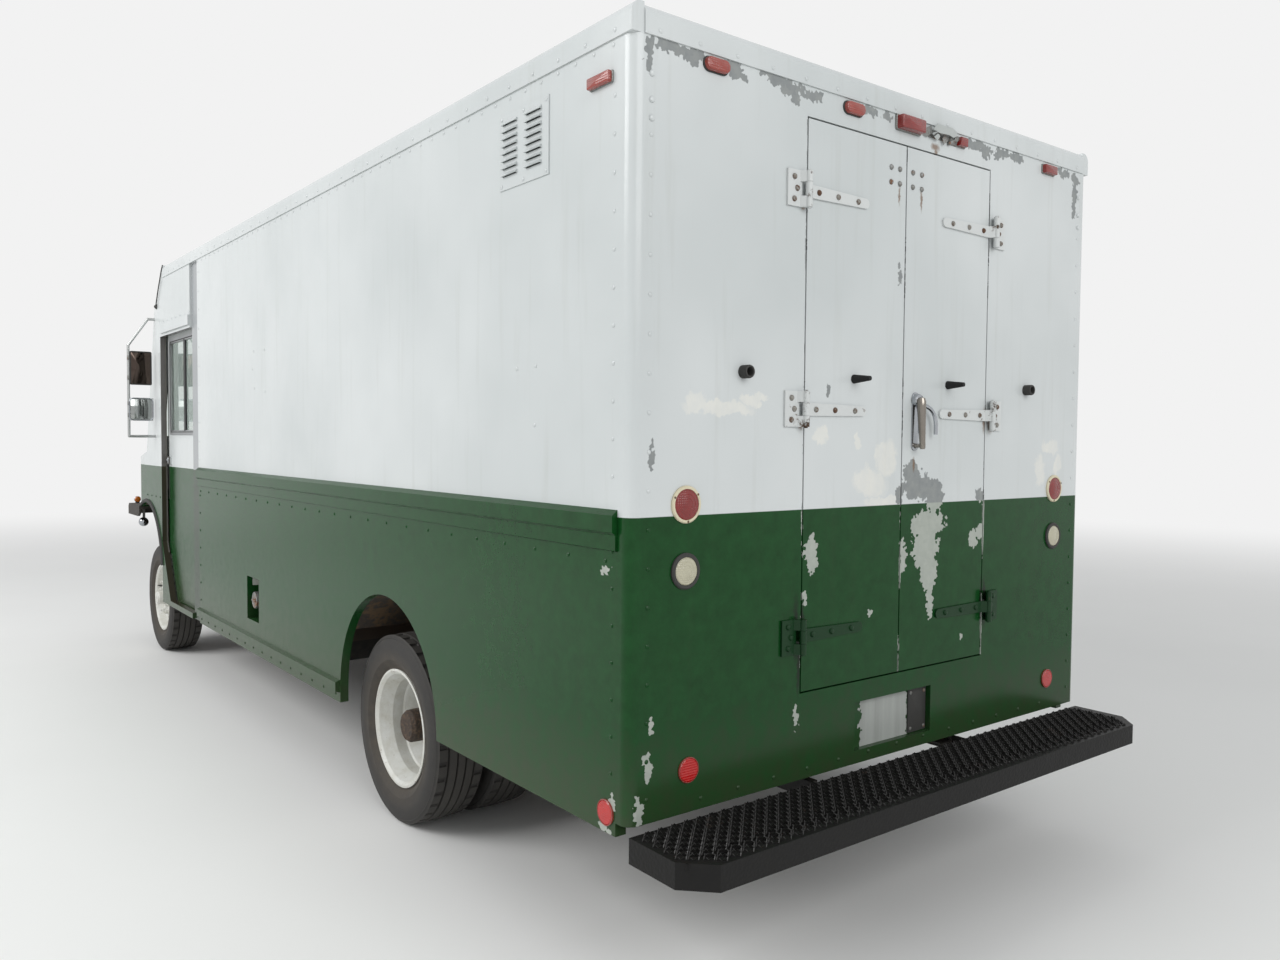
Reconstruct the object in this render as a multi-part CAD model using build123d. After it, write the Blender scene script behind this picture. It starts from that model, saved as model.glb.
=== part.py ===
from build123d import *
import math
import os

# Walk-in step van used as a food truck, in millimetres.
# Stations run along +X from the rear face of the load body (0) to the nose, +Y is the
# driver's side, +Z is up from the ground. Everything is shifted to its own middle when saved.

# Overall
BODY_WIDTH = 2490
WHEELBASE = 4520
REAR_AXLE_X = 1837
WALL = 40
FACE_GAP = 6
RUNNING_GAP = 0.05
SOFT_GAP = 0.3
HALF = BODY_WIDTH / 2
FRONT_AXLE_X = REAR_AXLE_X + WHEELBASE

# Tyres and wheels
TYRE_RADIUS = 420
TYRE_WIDTH = 248
TYRE_SET_IN = 80
TWIN_GAP = 37
SHOULDER = 18
RIM_RADIUS = 262
RIM_WIDTH = TYRE_WIDTH - 58
BEAD_STEP = 14
WELL_STEP = 40
RIM_SKIN = 10
HUB_RADIUS = 95
HUB_BORE_WALL = 40
DISC_THICK = 12
DISC_FLAT = 56
HAND_HOLES = 5
HAND_HOLE_RADIUS = 24
FRONT_DISC_Y = 62
DRUM_RADIUS = 187
DRUM_SKIN = 10
SPINDLE_RADIUS = 30
DUAL_SPACING = TYRE_WIDTH + TWIN_GAP
WHEEL_Y = HALF - TYRE_SET_IN - TYRE_WIDTH / 2
REAR_TYRE_IN = WHEEL_Y - DUAL_SPACING - TYRE_WIDTH / 2

# Ladder frame
AXLE_TUBE = 60
SPRING_ROOM = 202
RAIL_OUT = REAR_TYRE_IN - SPRING_ROOM
RAIL_FLANGE = 70
RAIL_WEB = 8
RAIL_LOW = TYRE_RADIUS + AXLE_TUBE + 30
RAIL_HIGH = RAIL_LOW + 200
RAIL_START = 60
CROSS_WIDTH = 64
CROSS_HEIGHT = 52
BEARER_WIDTH = 45
BEARER_DEPTH = 110
BEARER_PITCH = 416
FLOOR_PLATE = 42
FLOOR_TOP = RAIL_HIGH + BEARER_DEPTH + FLOOR_PLATE

# Roof and skirts
ROOF_EDGE_Z = 2935
ROOF_CROWN = 50
ROOF_THICK = 35
ROOF_RAIL_LOW = ROOF_EDGE_Z - 52
ROOF_RAIL_TOP = ROOF_EDGE_Z + 37
ROOF_RAIL_PROUD = 6
ROOF_RAIL_ROUND = 34
STEP_TOP = RAIL_LOW + 35
REAR_FRAME_LOW = STEP_TOP + 22
SKIRT_REAR_Z = STEP_TOP - 20
SKIRT_FRONT_Z = SKIRT_REAR_Z - 65

# Wheel arches and the houses inside them
REAR_ARCH_X = REAR_AXLE_X - 82
REAR_ARCH_RADIUS = TYRE_RADIUS + 85
REAR_ARCH_TOP = 2 * TYRE_RADIUS + 195
FRONT_ARCH_RADIUS = TYRE_RADIUS + 87
FRONT_ARCH_TOP = 2 * TYRE_RADIUS + 350
HOUSE_SKIN = 12
REAR_HOUSE_IN = REAR_TYRE_IN - 32

# Steered front axle
KINGPIN_IN = 166
KINGPIN_Y = WHEEL_Y - KINGPIN_IN
KINGPIN_RADIUS = 18
EYE_RADIUS = 38
EYE_LOW = TYRE_RADIUS - 60
EYE_HIGH = TYRE_RADIUS + 60
EAR = 42
EAR_GAP = 2
KNUCKLE_LOW = EYE_LOW - EAR_GAP - EAR
KNUCKLE_HIGH = EYE_HIGH + EAR_GAP + EAR
KNUCKLE_WEB_IN = KINGPIN_Y + EYE_RADIUS + 6
KNUCKLE_WEB = 30
SPINDLE_COLLAR = 18
SPINDLE_COLLAR_RADIUS = 48
FRONT_HUB_IN = KNUCKLE_WEB_IN + KNUCKLE_WEB + SPINDLE_COLLAR + 6
FRONT_SPINDLE_END = WHEEL_Y + 109
STEER_ARM_BACK = 170
STEER_ARM = 22
STEER_STUD_RADIUS = 9
STEER_STUD = 40
TIE_ROD_RADIUS = 14
TIE_ROD_EYE = 22
TIE_ROD_LOW = KNUCKLE_LOW + STEER_ARM + 2
TIE_ROD_EYE_HEIGHT = 32
BEAM_LOW = TYRE_RADIUS - 120
BEAM_TOP = TYRE_RADIUS - 45
BEAM_HALF_WIDTH = 32
BEAM_WEB = 12
BEAM_FLANGE = 16
FRONT_HOUSE_IN = KINGPIN_Y - 225

# Rear axle, springs and propeller shaft
REAR_TUBE_END = WHEEL_Y - 426
REAR_HUB_IN = WHEEL_Y - 401
REAR_HUB_END = WHEEL_Y + 34
BANJO_RADIUS = 165
PINION_REACH = 260
SPRING_WIDTH = 70
SPRING_Y = RAIL_OUT + 90
SPRING_SEAT = 12
LEAF_THICK = 12
REAR_SPRING_HALF = 620
REAR_SPRING_RISE = 70
REAR_LEAVES = 3
FRONT_SPRING_Y = RAIL_OUT - RAIL_FLANGE / 2
FRONT_SPRING_HALF = 520
FRONT_SPRING_RISE = 74
FRONT_LEAVES = 2
HANGER = 50
GEARBOX_RADIUS = 85
GEARBOX_LENGTH = 640
GEARBOX_Z = RAIL_LOW + 50
SHAFT_RADIUS = 42

# Load body
CARGO_END = FRONT_AXLE_X - 1572
REAR_FRAME_DEPTH = 60
CORNER_RADIUS = 38
PLATE_RECESS_Y = (-200, 237)
PLATE_RECESS_Z = (REAR_FRAME_LOW + 47, REAR_FRAME_LOW + 221)
PLATE_RECESS_DEPTH = 25
BELT_Z = 1381
BELT_PROFILE = ((0, 0), (8, 4), (8, 49), (20, 59), (20, 109), (0, 125))
LOW_RAIL_PROFILE = ((0, 0), (20, 8), (20, 51), (0, 61))
LOW_RAIL_Z = SKIRT_FRONT_Z + 45
BULKHEAD_X = CARGO_END - 60
BULKHEAD_THICK = 30
DOORWAY_HALF = 360
DOORWAY_TOP = 2720

# Rear doors and their strap hinges
DOOR_HALF = 522
DOOR_BOTTOM = FLOOR_TOP
DOOR_TOP = ROOF_RAIL_LOW - 98
DOOR_THICK = 40
DOOR_STOP = 17
DOOR_PANEL_RIM = 46
DOOR_PANEL_STEP = 5
HINGE_Y = DOOR_HALF + 13
HINGE_OUT = 24
HINGE_HEIGHTS = (2540, 1820, 1060)
STRAP_LENGTH = 285
STRAP_WIDTH = 44
STRAP_TIP_WIDTH = 34
STRAP_THICK = 8
KNUCKLE_RADIUS = 12
KNUCKLE_HALF = STRAP_WIDTH / 2
KNUCKLE_SPACE = 1
PIN_RADIUS = 6
PIN_END = 4
BRACKET_HEIGHT = 118
BRACKET_WIDTH = 66

# Door stays: rubber cones on the doors, cups on the corner panels
STAY_Z = 1931
STAY_Y = HINGE_Y - 265
STAY_LENGTH = 72
STAY_ROOT = 16
STAY_TIP = 8
CUP_RADIUS = 20
CUP_BORE = 14
CUP_HEIGHT = 16
CUP_FLOOR = 4

# Rear door latch, beside the middle gap on the right leaf
LATCH_Y = -72
LATCH_PLATE_Z = (1650, 1900)
LATCH_PLATE_HALF = 30
GRIP_RADIUS = 13
GRIP_OUT = 44
GRIP_FOOT = 24
LEVER_Z = (1722, 1810)
LEVER_Y = (LATCH_Y - 110, LATCH_Y - 84)

# Vent high on the left side: columns of pressed louvres
VENT_X = (441, 753)
VENT_Z = (2565, 2818)
VENT_RIM = 26
VENT_COLUMNS = ((484, 580), (637, 732))
VENT_ROWS = 8
VENT_FIRST_Z = VENT_Z[0] + 45
VENT_PITCH = 24.7
VENT_PLATE = 4
LOUVRE_OUT = 11
LOUVRE_RISE = 15
LOUVRE_SKIN = 2

# Lamps and reflectors
TAIL_LAMP_Y = HALF - 212
TAIL_LAMP_Z = (1519, 1316)
TAIL_LAMP_RADIUS = 54
TAIL_LAMP_OUT = 14
TOP_LAMPS_Y = (315 - HALF, -298, 0, 298, HALF - 315)
TOP_LAMP_Z = ROOF_RAIL_LOW - 31
TOP_LAMP_HALF = (48, 17)
TOP_LAMP_OUT = 24
REFLECTOR_RADIUS = 40
REFLECTOR_OUT = 8
REAR_REFLECTOR = (HALF - 232, REAR_FRAME_LOW + 133)
SIDE_REFLECTOR = (108, SKIRT_REAR_Z + 62)
SIDE_MARKER_X = (93, 211)
SIDE_MARKER_Z = (ROOF_RAIL_LOW - 123, ROOF_RAIL_LOW - 86)
SIDE_MARKER_OUT = 20

# Nose
RAIL_END_PAST_NOSE = 50
NOSE_PAST_ARCH = 126
NOSE_X = FRONT_AXLE_X + FRONT_ARCH_RADIUS + NOSE_PAST_ARCH
NOSE_LOW = RAIL_HIGH + 10
NOSE_SKIN = 25
NOSE_CORNER = 110
RAIL_END = NOSE_X + RAIL_END_PAST_NOSE
GRILLE_HALF = 430
GRILLE_Z = (NOSE_LOW + 140, NOSE_LOW + 480)
GRILLE_RIM = 20
GRILLE_BARS = 7
GRILLE_BAR = 12
HEADLAMP_Y = 640
HEADLAMP_Z = NOSE_LOW + 320
HEADLAMP_RADIUS = 92
CHEEK_X = FRONT_AXLE_X + 0.42 * FRONT_ARCH_RADIUS
CHEEK_HALF = HALF - 215
TURN_LAMP_Y = CHEEK_HALF - NOSE_CORNER - 50
TURN_LAMP_RADIUS = 42
HOOD_LOW_Z = NOSE_LOW + 570
HOOD_HALF = 640
HOOD_GUTTER = 36
NOSE_BROW = (NOSE_X, HOOD_LOW_Z + 95)
HOOD_FRONT = (NOSE_X - 100, HOOD_LOW_Z + 200)
SCREEN_BASE = (FRONT_AXLE_X - 7, HOOD_LOW_Z + 300)
SCREEN_TOP = (FRONT_AXLE_X - 307, 2610)
CAP_FRONT = (FRONT_AXLE_X - 337, 2700)
CAP_REAR_X = FRONT_AXLE_X - 617
SCREEN_GLASS_Z = (SCREEN_BASE[1] + 110, SCREEN_TOP[1] - 90)
SCREEN_GLASS_OUT = HALF - 115
SCREEN_POST = 34
GLASS = 6
HOOD_BACK_X = SCREEN_BASE[0] + HOOD_GUTTER
HOOD_HINGE_X = HOOD_BACK_X - 14
HOOD_HINGE_Z = SCREEN_BASE[1] - 30
HOOD_HINGE_Y = 480
HOOD_PIN = 5
HOOD_KNUCKLE = 10

# Fenders outboard of the nose, with a marker lamp on top and a driving lamp below
FENDER_TOP = FRONT_ARCH_TOP - 40
FENDER_THICK = 30
FENDER_LIP = 18
FENDER_LIP_LOW = FENDER_TOP - 90
FENDER_OUT = HALF + 17
FENDER_LAMP_Y = HALF - 45
FENDER_LAMP_X = NOSE_X - 40
FENDER_LAMP_RADIUS = 26
DRIVING_LAMP_X = NOSE_X - 280
DRIVING_LAMP_Z = FENDER_TOP - 145
DRIVING_LAMP_RADIUS = 38

# Cab sides and their sliding doors
PILLAR_END = CARGO_END + 195
PILLAR_SET_IN = 15
CAB_OPEN_END = FRONT_AXLE_X - FRONT_ARCH_RADIUS
CAB_OPEN_LOW_END = CAB_OPEN_END - 240
CAB_NOTCH_Z = FLOOR_TOP + 58
DOOR_HEAD_Z = 2455
HEADER_Z = (DOOR_HEAD_Z + 20, DOOR_HEAD_Z + 85)
HEADER_OUT = 14
STEP_WELL_FLOOR = SKIRT_FRONT_Z + 60
STEP_WELL_X = (PILLAR_END + 10, CAB_OPEN_LOW_END - 10)
STEP_WELL_SKIN = 10
CAB_DOOR_LOW = STEP_WELL_FLOOR - 22
CAB_DOOR_OUT = HALF - WALL - 10
CAB_DOOR_THICK = 30
CAB_DOOR_MIDDLE_Y = CAB_DOOR_OUT - CAB_DOOR_THICK / 2
CAB_DOOR_LAP = 14
CAB_DOOR_TRAVEL = 740
CAB_GLASS_Z = (1736, DOOR_HEAD_Z - 35)
CAB_HANDLE_Z = (1505, 1560)
DOOR_POCKET_Y = CAB_DOOR_OUT - CAB_DOOR_THICK - 10
DOOR_POCKET_X = PILLAR_END - CAB_DOOR_LAP - CAB_DOOR_TRAVEL - 20
STEP_WELL_IN = CAB_DOOR_OUT - 355
TRACK_GAP = 6
TRACK_SKIN = 4
TRACK_HEIGHT = 50
TRACK_HALF = 24
TRACK_SLOT_HALF = 8
ROLLER_RADIUS = 14
ROLLER_HALF = 12
HANGER_HALF = (30, 3)

# Cab inside
DRIVER_Y = 560
ENGINE_HOLE_X = FRONT_AXLE_X - 717
ENGINE_HOLE_Y = 330
ENGINE_LENGTH = 800
ENGINE_HALF = 230
ENGINE_COVER_SKIN = 20
ENGINE_COVER_RISE = (338, 378)
DASH_DEPTH = 230
DASH_SLOPE = 80
DASH_DROP = (30, 110, 290)
STEERING_HUB = (FRONT_AXLE_X - 457, DRIVER_Y, FLOOR_TOP + 694)
STEERING_TILT = 50
STEERING_RADIUS = 215
STEERING_COLUMN = 420
SEAT_X = FRONT_AXLE_X - 1107
SEAT_Z = FLOOR_TOP + 378
SEAT_PLATE = 22
SEAT_PLATE_SIZE = (410, 440)
SEAT_PAD = (470, 450, 108)
SEAT_BACK = (90, 440, 560)
SEAT_BACK_TILT = 10
SEAT_ROUND = 26

# Mirrors
MIRROR_X = SCREEN_TOP[0] - 22
MIRROR_Y = HALF + 185
MIRROR_Z = (1711, 2600)
MIRROR_SHOULDER = (HALF + 48, 2395)
MIRROR_TUBE = 10
MIRROR_FLAT = (HALF + 30, HALF + 178, 2100, 2350)
MIRROR_CONVEX = (HALF + 20, HALF + 188, 1830, 2000)

# Fuel tank and its filler in the left side
FILLER_X = (CARGO_END - 1285, CARGO_END - 1065)
FILLER_Z = (RAIL_HIGH - 60, RAIL_HIGH + 190)
FILLER_DEPTH = 55
FILLER_SKIN = 3
FILLER_CAP_Z = RAIL_HIGH + 58
FILLER_CAP_RADIUS = 48
FILLER_NECK_RADIUS = 30
TANK_X = (CARGO_END - 1635, CARGO_END - 735)
TANK_OUT = HALF - 265
TANK_Z = (RAIL_HIGH - 260, RAIL_HIGH - 10)
TANK_ROUND = 50

# Exhaust, under the right rail and out ahead of the rear wheels
PIPE_RADIUS = 28
PIPE_Y = -(RAIL_OUT + 190)
PIPE_Z = RAIL_LOW - 35
OUTLET_Z = RAIL_LOW - 85
OUTLET_X = REAR_ARCH_X + REAR_ARCH_RADIUS + 300
DOWN_PIPE = (ENGINE_HOLE_X + 120, -200)
SILENCER_RADIUS = 95
SILENCER_X = (CARGO_END - 1585, CARGO_END - 785)
SILENCER_Z = RAIL_LOW + 35

# Bumper and rear step
BUMPER_DEPTH = 120
BUMPER_SKIN = 10
BUMPER_WRAP = 190
BUMPER_Z = (RAIL_LOW - 40, RAIL_HIGH - 10)
FRONT_BUMPER_X = RAIL_END + BUMPER_DEPTH
STEP_DEPTH = 310
STEP_CLEAR = 8
STEP_HEIGHT = 78
STEP_CHAMFER = 90
STEP_SKIN = 8
STEP_RIM = 46
STEP_BAR = 26
STEP_BAR_PITCH = 52
STEP_CROSSBARS_Y = (145 - HALF, -760, 0, 760, HALF - 145)

# Serving hatch on the kerb side
HATCH_LENGTH = 1800
HATCH_FRONT_X = DOOR_POCKET_X - 56
HATCH_X = (HATCH_FRONT_X - HATCH_LENGTH, HATCH_FRONT_X)
HATCH_Z = (1560, 2490)
HATCH_THICK = 32
HATCH_HINGE_OUT = 10
HATCH_HINGE_UP = 18
HATCH_HINGES_X = (HATCH_X[0] + 250, sum(HATCH_X) / 2, HATCH_X[1] - 250)
HATCH_KNUCKLE = 9
HATCH_PIN = 4.5
HATCH_LEAF_HALF = 30
COUNTER_DEPTH = 320
COUNTER_THICK = 30

LENGTH_MIDDLE = (FRONT_BUMPER_X - STEP_DEPTH) / 2


def block(x0, x1, y0, y1, z0, z1):
    middle = ((x0 + x1) / 2, (y0 + y1) / 2, (z0 + z1) / 2)
    return Pos(*middle) * Box(x1 - x0, y1 - y0, z1 - z0)


def side_prism(points, y0, y1):
    # An outline in X and Z, run from y0 to y1.
    face = make_face(Plane.XZ * Polyline(*points, close=True))
    return Pos(0, y1, 0) * extrude(face, amount=y1 - y0, dir=(0, -1, 0))


def cross_prism(points, x0, x1):
    # An outline in Y and Z, run from x0 to x1.
    face = make_face(Plane.YZ * Polyline(*points, close=True))
    return Pos(x0, 0, 0) * extrude(face, amount=x1 - x0, dir=(1, 0, 0))


def plan_prism(points, z0, z1):
    # An outline in X and Y, run from z0 to z1.
    face = make_face(Polyline(*points, close=True))
    return Pos(0, 0, z0) * extrude(face, amount=z1 - z0, dir=(0, 0, 1))


def rod_x(radius, x0, x1, y, z):
    return Pos((x0 + x1) / 2, y, z) * Rot(0, 90, 0) * Cylinder(radius, x1 - x0)


def rod_y(radius, y0, y1, x, z):
    return Pos(x, (y0 + y1) / 2, z) * Rot(90, 0, 0) * Cylinder(radius, y1 - y0)


def rod_z(radius, z0, z1, x, y):
    return Pos(x, y, (z0 + z1) / 2) * Cylinder(radius, z1 - z0)


def rod_between(radius, start, end):
    run = Vector(*end) - Vector(*start)
    return Plane(origin=start, z_dir=run) * Cylinder(
        radius, run.length, align=(Align.CENTER, Align.CENTER, Align.MIN)
    )


def ring(points):
    # A body of revolution about the Y axis, from an outline of radius and place along Y.
    return revolve(make_face(Polyline(*points, close=True)), axis=Axis.Y)


def joined(shapes):
    whole = None
    for shape in shapes:
        whole = shape if whole is None else whole + shape
    return whole


def other_side(shape):
    return mirror(shape, about=Plane.XZ)


def both_sides(shape):
    return shape + other_side(shape)


def save(name, shape):
    export_step(Pos(-LENGTH_MIDDLE, 0, 0) * shape, f"parts/{name}.step")


def arch_cut(x, radius, top, y0, y1):
    # A wheel opening: a half circle with straight sides down to the ground.
    spring_line = top - radius
    legs = block(x - radius, x + radius, y0, y1, 0, spring_line)
    return rod_y(radius, y0, y1, x, spring_line) + legs


def rear_arch(y0, y1, grow=0):
    return arch_cut(REAR_ARCH_X, REAR_ARCH_RADIUS + grow, REAR_ARCH_TOP + grow, y0, y1)


def front_arch(y0, y1, grow=0):
    return arch_cut(FRONT_AXLE_X, FRONT_ARCH_RADIUS + grow, FRONT_ARCH_TOP + grow, y0, y1)


# Load body

def side_panel():
    outline = [
        (REAR_FRAME_DEPTH, SKIRT_REAR_Z), (REAR_ARCH_X, SKIRT_REAR_Z),
        (REAR_ARCH_X, SKIRT_FRONT_Z), (CARGO_END, SKIRT_FRONT_Z),
        (CARGO_END, ROOF_RAIL_LOW), (REAR_FRAME_DEPTH, ROOF_RAIL_LOW),
    ]
    return side_prism(outline, HALF - WALL, HALF) - rear_arch(HALF - WALL - 1, HALF + 1)


def side_panel_left():
    vent_hole = block(
        VENT_X[0] + VENT_RIM, VENT_X[1] - VENT_RIM, HALF - WALL - 1, HALF + 1,
        VENT_Z[0] + VENT_RIM, VENT_Z[1] - VENT_RIM,
    )
    return side_panel() - vent_hole - filler_pocket(0) + filler_box()


def filler_pocket(grow):
    x0, x1 = FILLER_X
    z0, z1 = FILLER_Z
    back = HALF - WALL - FILLER_DEPTH - grow
    return block(x0 - grow, x1 + grow, back, HALF + 1, z0 - grow, z1 + grow)


def filler_box():
    # Sheet box behind the side panel, round the filler neck.
    outer = filler_pocket(FILLER_SKIN) - block(0, NOSE_X, HALF - WALL, HALF + 2, 0, ROOF_RAIL_LOW)
    return outer - filler_pocket(0) - filler_neck(FILLER_NECK_RADIUS + 4)


def filler_neck(radius):
    x = sum(FILLER_X) / 2
    foot = (x, TANK_OUT - 24, TANK_Z[1] - 48)
    mouth = (x, HALF - WALL - 11, FILLER_CAP_Z + 10)
    return rod_between(radius, foot, mouth)


def side_panel_right():
    hatch = block(*HATCH_X, -HALF - 1, -HALF + WALL + 1, *HATCH_Z)
    return other_side(side_panel()) - hatch


def vent_louvre():
    # Pressed louvres: a wedge over each slot, hollow behind and open at its lower edge.
    plate = block(*VENT_X, HALF, HALF + VENT_PLATE, *VENT_Z)
    face = HALF + VENT_PLATE
    edge = face + LOUVRE_OUT
    for x0, x1 in VENT_COLUMNS:
        for row in range(VENT_ROWS):
            z = VENT_FIRST_Z + row * VENT_PITCH
            top = z + LOUVRE_RISE
            wedge = [(face - 2, top), (edge, z), (face - 2, z)]
            slot = [(HALF - 1, top - 3), (edge - 3, z - 1), (HALF - 1, z - 1)]
            plate += cross_prism(wedge, x0, x1)
            plate -= cross_prism(slot, x0 + LOUVRE_SKIN, x1 - LOUVRE_SKIN)
    return plate


def roof():
    edge = HALF - WALL
    low_z = ROOF_EDGE_Z - ROOF_THICK
    top = ThreePointArc((-edge, ROOF_EDGE_Z), (0, ROOF_EDGE_Z + ROOF_CROWN), (edge, ROOF_EDGE_Z))
    low = ThreePointArc((edge, low_z), (0, low_z + ROOF_CROWN), (-edge, low_z))
    right = Line((edge, ROOF_EDGE_Z), (edge, low_z))
    left = Line((-edge, low_z), (-edge, ROOF_EDGE_Z))
    face = make_face(Plane.YZ * (top + right + low + left))
    length = CAP_REAR_X - REAR_FRAME_DEPTH
    return Pos(REAR_FRAME_DEPTH, 0, 0) * extrude(face, amount=length, dir=(1, 0, 0))


def roof_rails():
    # A rounded extrusion along each side of the roof and across its rear edge.
    outer = HALF + ROOF_RAIL_PROUD
    side = block(0, CAP_REAR_X, HALF - WALL, outer, ROOF_RAIL_LOW, ROOF_RAIL_TOP)
    corner = side.edges().filter_by(Axis.X).sort_by(lambda e: e.center().Y + e.center().Z)
    side = fillet(corner[-1:], ROOF_RAIL_ROUND)
    cap = block(
        -ROOF_RAIL_PROUD, REAR_FRAME_DEPTH, -HALF + WALL, HALF - WALL, ROOF_RAIL_LOW, ROOF_RAIL_TOP
    )
    brow = cap.edges().filter_by(Axis.Y).sort_by(lambda e: e.center().Z - e.center().X)
    return both_sides(side) + fillet(brow[-1:], ROOF_RAIL_ROUND)


def rear_frame():
    frame = block(0, REAR_FRAME_DEPTH, -HALF, HALF, REAR_FRAME_LOW, ROOF_RAIL_LOW)
    frame = fillet(frame.edges().filter_by(Axis.Z).group_by(Axis.X)[0], CORNER_RADIUS)
    seat = DOOR_THICK + FACE_GAP
    inner = DOOR_HALF - DOOR_STOP
    frame -= block(-1, seat, -DOOR_HALF, DOOR_HALF, DOOR_BOTTOM, DOOR_TOP)
    frame -= block(seat - 1, REAR_FRAME_DEPTH + 1, -inner, inner, FLOOR_TOP, DOOR_TOP - DOOR_STOP)
    return frame - block(-1, PLATE_RECESS_DEPTH, *PLATE_RECESS_Y, *PLATE_RECESS_Z)


def rear_door():
    # The left leaf, with a pressed field inside a raised rim on its inner face.
    y0, y1 = FACE_GAP / 2, DOOR_HALF - FACE_GAP
    z0, z1 = DOOR_BOTTOM + FACE_GAP, DOOR_TOP - FACE_GAP
    rim = DOOR_PANEL_RIM
    leaf = block(0, DOOR_THICK, y0, y1, z0, z1)
    back = DOOR_THICK - DOOR_PANEL_STEP
    return leaf - block(back, DOOR_THICK + 1, y0 + rim, y1 - rim, z0 + rim, z1 - rim)


def hinge_fixed():
    # Hinge axis on local Z through the origin, panel face at local x = HINGE_OUT,
    # bracket towards +Y. Two knuckles carry the pin.
    face = HINGE_OUT
    half = BRACKET_HEIGHT / 2
    root = KNUCKLE_RADIUS + 4
    bracket = block(face - STRAP_THICK, face, root, root + BRACKET_WIDTH, -half, half)
    gusset = [
        (-4, KNUCKLE_RADIUS - 4), (KNUCKLE_RADIUS - 3, 0),
        (face, KNUCKLE_RADIUS + 6), (face - STRAP_THICK, KNUCKLE_RADIUS + 14),
    ]
    for sign in (1, -1):
        low, high = sorted((sign * (KNUCKLE_HALF + KNUCKLE_SPACE), sign * half))
        bracket += rod_z(KNUCKLE_RADIUS, low, high, 0, 0) + plan_prism(gusset, low, high)
    return bracket + rod_z(PIN_RADIUS, -half - PIN_END, half + PIN_END, 0, 0)


def hinge_strap():
    # The moving strap, towards -Y along the door face at rest.
    face = HINGE_OUT
    root = KNUCKLE_RADIUS + 8
    tip = root + STRAP_LENGTH
    outline = [
        (-root, -STRAP_WIDTH / 2), (-root, STRAP_WIDTH / 2),
        (-tip, STRAP_TIP_WIDTH / 2), (-tip, -STRAP_TIP_WIDTH / 2),
    ]
    gusset = [
        (-4, -KNUCKLE_RADIUS + 3), (KNUCKLE_RADIUS - 3, -3),
        (face, -root - 2), (face - STRAP_THICK, -root - 10),
    ]
    strap = cross_prism(outline, face - STRAP_THICK, face)
    strap += rod_x(STRAP_TIP_WIDTH / 2, face - STRAP_THICK, face, -tip, 0)
    strap += plan_prism(gusset, -KNUCKLE_HALF, KNUCKLE_HALF)
    strap += rod_z(KNUCKLE_RADIUS, -KNUCKLE_HALF, KNUCKLE_HALF, 0, 0)
    return strap - rod_z(PIN_RADIUS + RUNNING_GAP, -KNUCKLE_HALF - 1, KNUCKLE_HALF + 1, 0, 0)


def rear_hinges(piece):
    one = piece()
    return joined(Pos(-HINGE_OUT, HINGE_Y, z) * one for z in HINGE_HEIGHTS)


def door_stay_cone():
    return Pos(-STAY_LENGTH / 2, STAY_Y, STAY_Z) * Rot(0, -90, 0) * Cone(
        STAY_ROOT, STAY_TIP, STAY_LENGTH
    )


def door_stay_cup():
    # It sits where the cone arrives when the leaf is swung right back.
    y = 2 * HINGE_Y - STAY_Y
    cup = rod_x(CUP_RADIUS, -CUP_HEIGHT, 0, y, STAY_Z)
    return cup - rod_x(CUP_BORE, -CUP_HEIGHT - 1, -CUP_FLOOR, y, STAY_Z)


def door_latch():
    # Plate, round grip on two feet and a paddle lever.
    y = LATCH_Y
    z0, z1 = LATCH_PLATE_Z
    latch = block(-6, 0, y - LATCH_PLATE_HALF, y + LATCH_PLATE_HALF, z0, z1)
    latch += rod_z(GRIP_RADIUS, z0 + 18, z1 - 50, -GRIP_OUT, y)
    for low in (z0 + 2, z1 - 58):
        latch += block(-GRIP_OUT - 6, 0, y - 14, y + 14, low, low + GRIP_FOOT)
    low, high = LEVER_Z
    paddle = [(-30, high - 10), (-18, high - 10), (-22, low), (-32, low)]
    latch += side_prism(paddle, *LEVER_Y)
    latch += block(-30, -18, LEVER_Y[0] + 10, y, high - 20, high - 4)
    return latch + block(-22, 0, y - 12, y + 12, high - 24, high)


def bearers():
    # Even crossways bearers, counted back from the cab, then short ones behind the wheels.
    first = REAR_ARCH_X + REAR_ARCH_RADIUS + HOUSE_SKIN + BEARER_WIDTH
    places = [CARGO_END + 95, CAB_OPEN_END - 550]
    x = CARGO_END - 285
    while x > first:
        places.append(x)
        x -= BEARER_PITCH
    x = REAR_ARCH_X - REAR_ARCH_RADIUS - HOUSE_SKIN - 2 * BEARER_WIDTH
    while x > REAR_FRAME_DEPTH:
        places.append(x)
        x -= BEARER_PITCH
    return places


def floor():
    x1 = SCREEN_BASE[0] - WALL
    side = HALF - WALL
    under = FLOOR_TOP - FLOOR_PLATE
    slab = block(REAR_FRAME_DEPTH, x1, -side, side, under, FLOOR_TOP)
    for x in bearers():
        slab += block(x, x + BEARER_WIDTH, -side, side, RAIL_HIGH, under)
    # Pockets for the sliding doors, the wheel houses, the step wells and the engine.
    z0, z1 = RAIL_HIGH - 1, FLOOR_TOP + 1
    door_pocket = block(DOOR_POCKET_X, SCREEN_BASE[0], DOOR_POCKET_Y, HALF, z0, z1)
    well = block(*STEP_WELL_X, STEP_WELL_IN, HALF, z0, z1)
    rear_house = rear_arch(REAR_HOUSE_IN, HALF, HOUSE_SKIN)
    front_house = front_arch(FRONT_HOUSE_IN, HALF, HOUSE_SKIN)
    for cut in (door_pocket, well, rear_house, front_house):
        slab -= both_sides(cut)
    slab -= filler_pocket(FILLER_SKIN) + filler_neck(FILLER_NECK_RADIUS + 4)
    return slab - block(ENGINE_HOLE_X, x1 + 1, -ENGINE_HOLE_Y, ENGINE_HOLE_Y, z0, z1)


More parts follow.
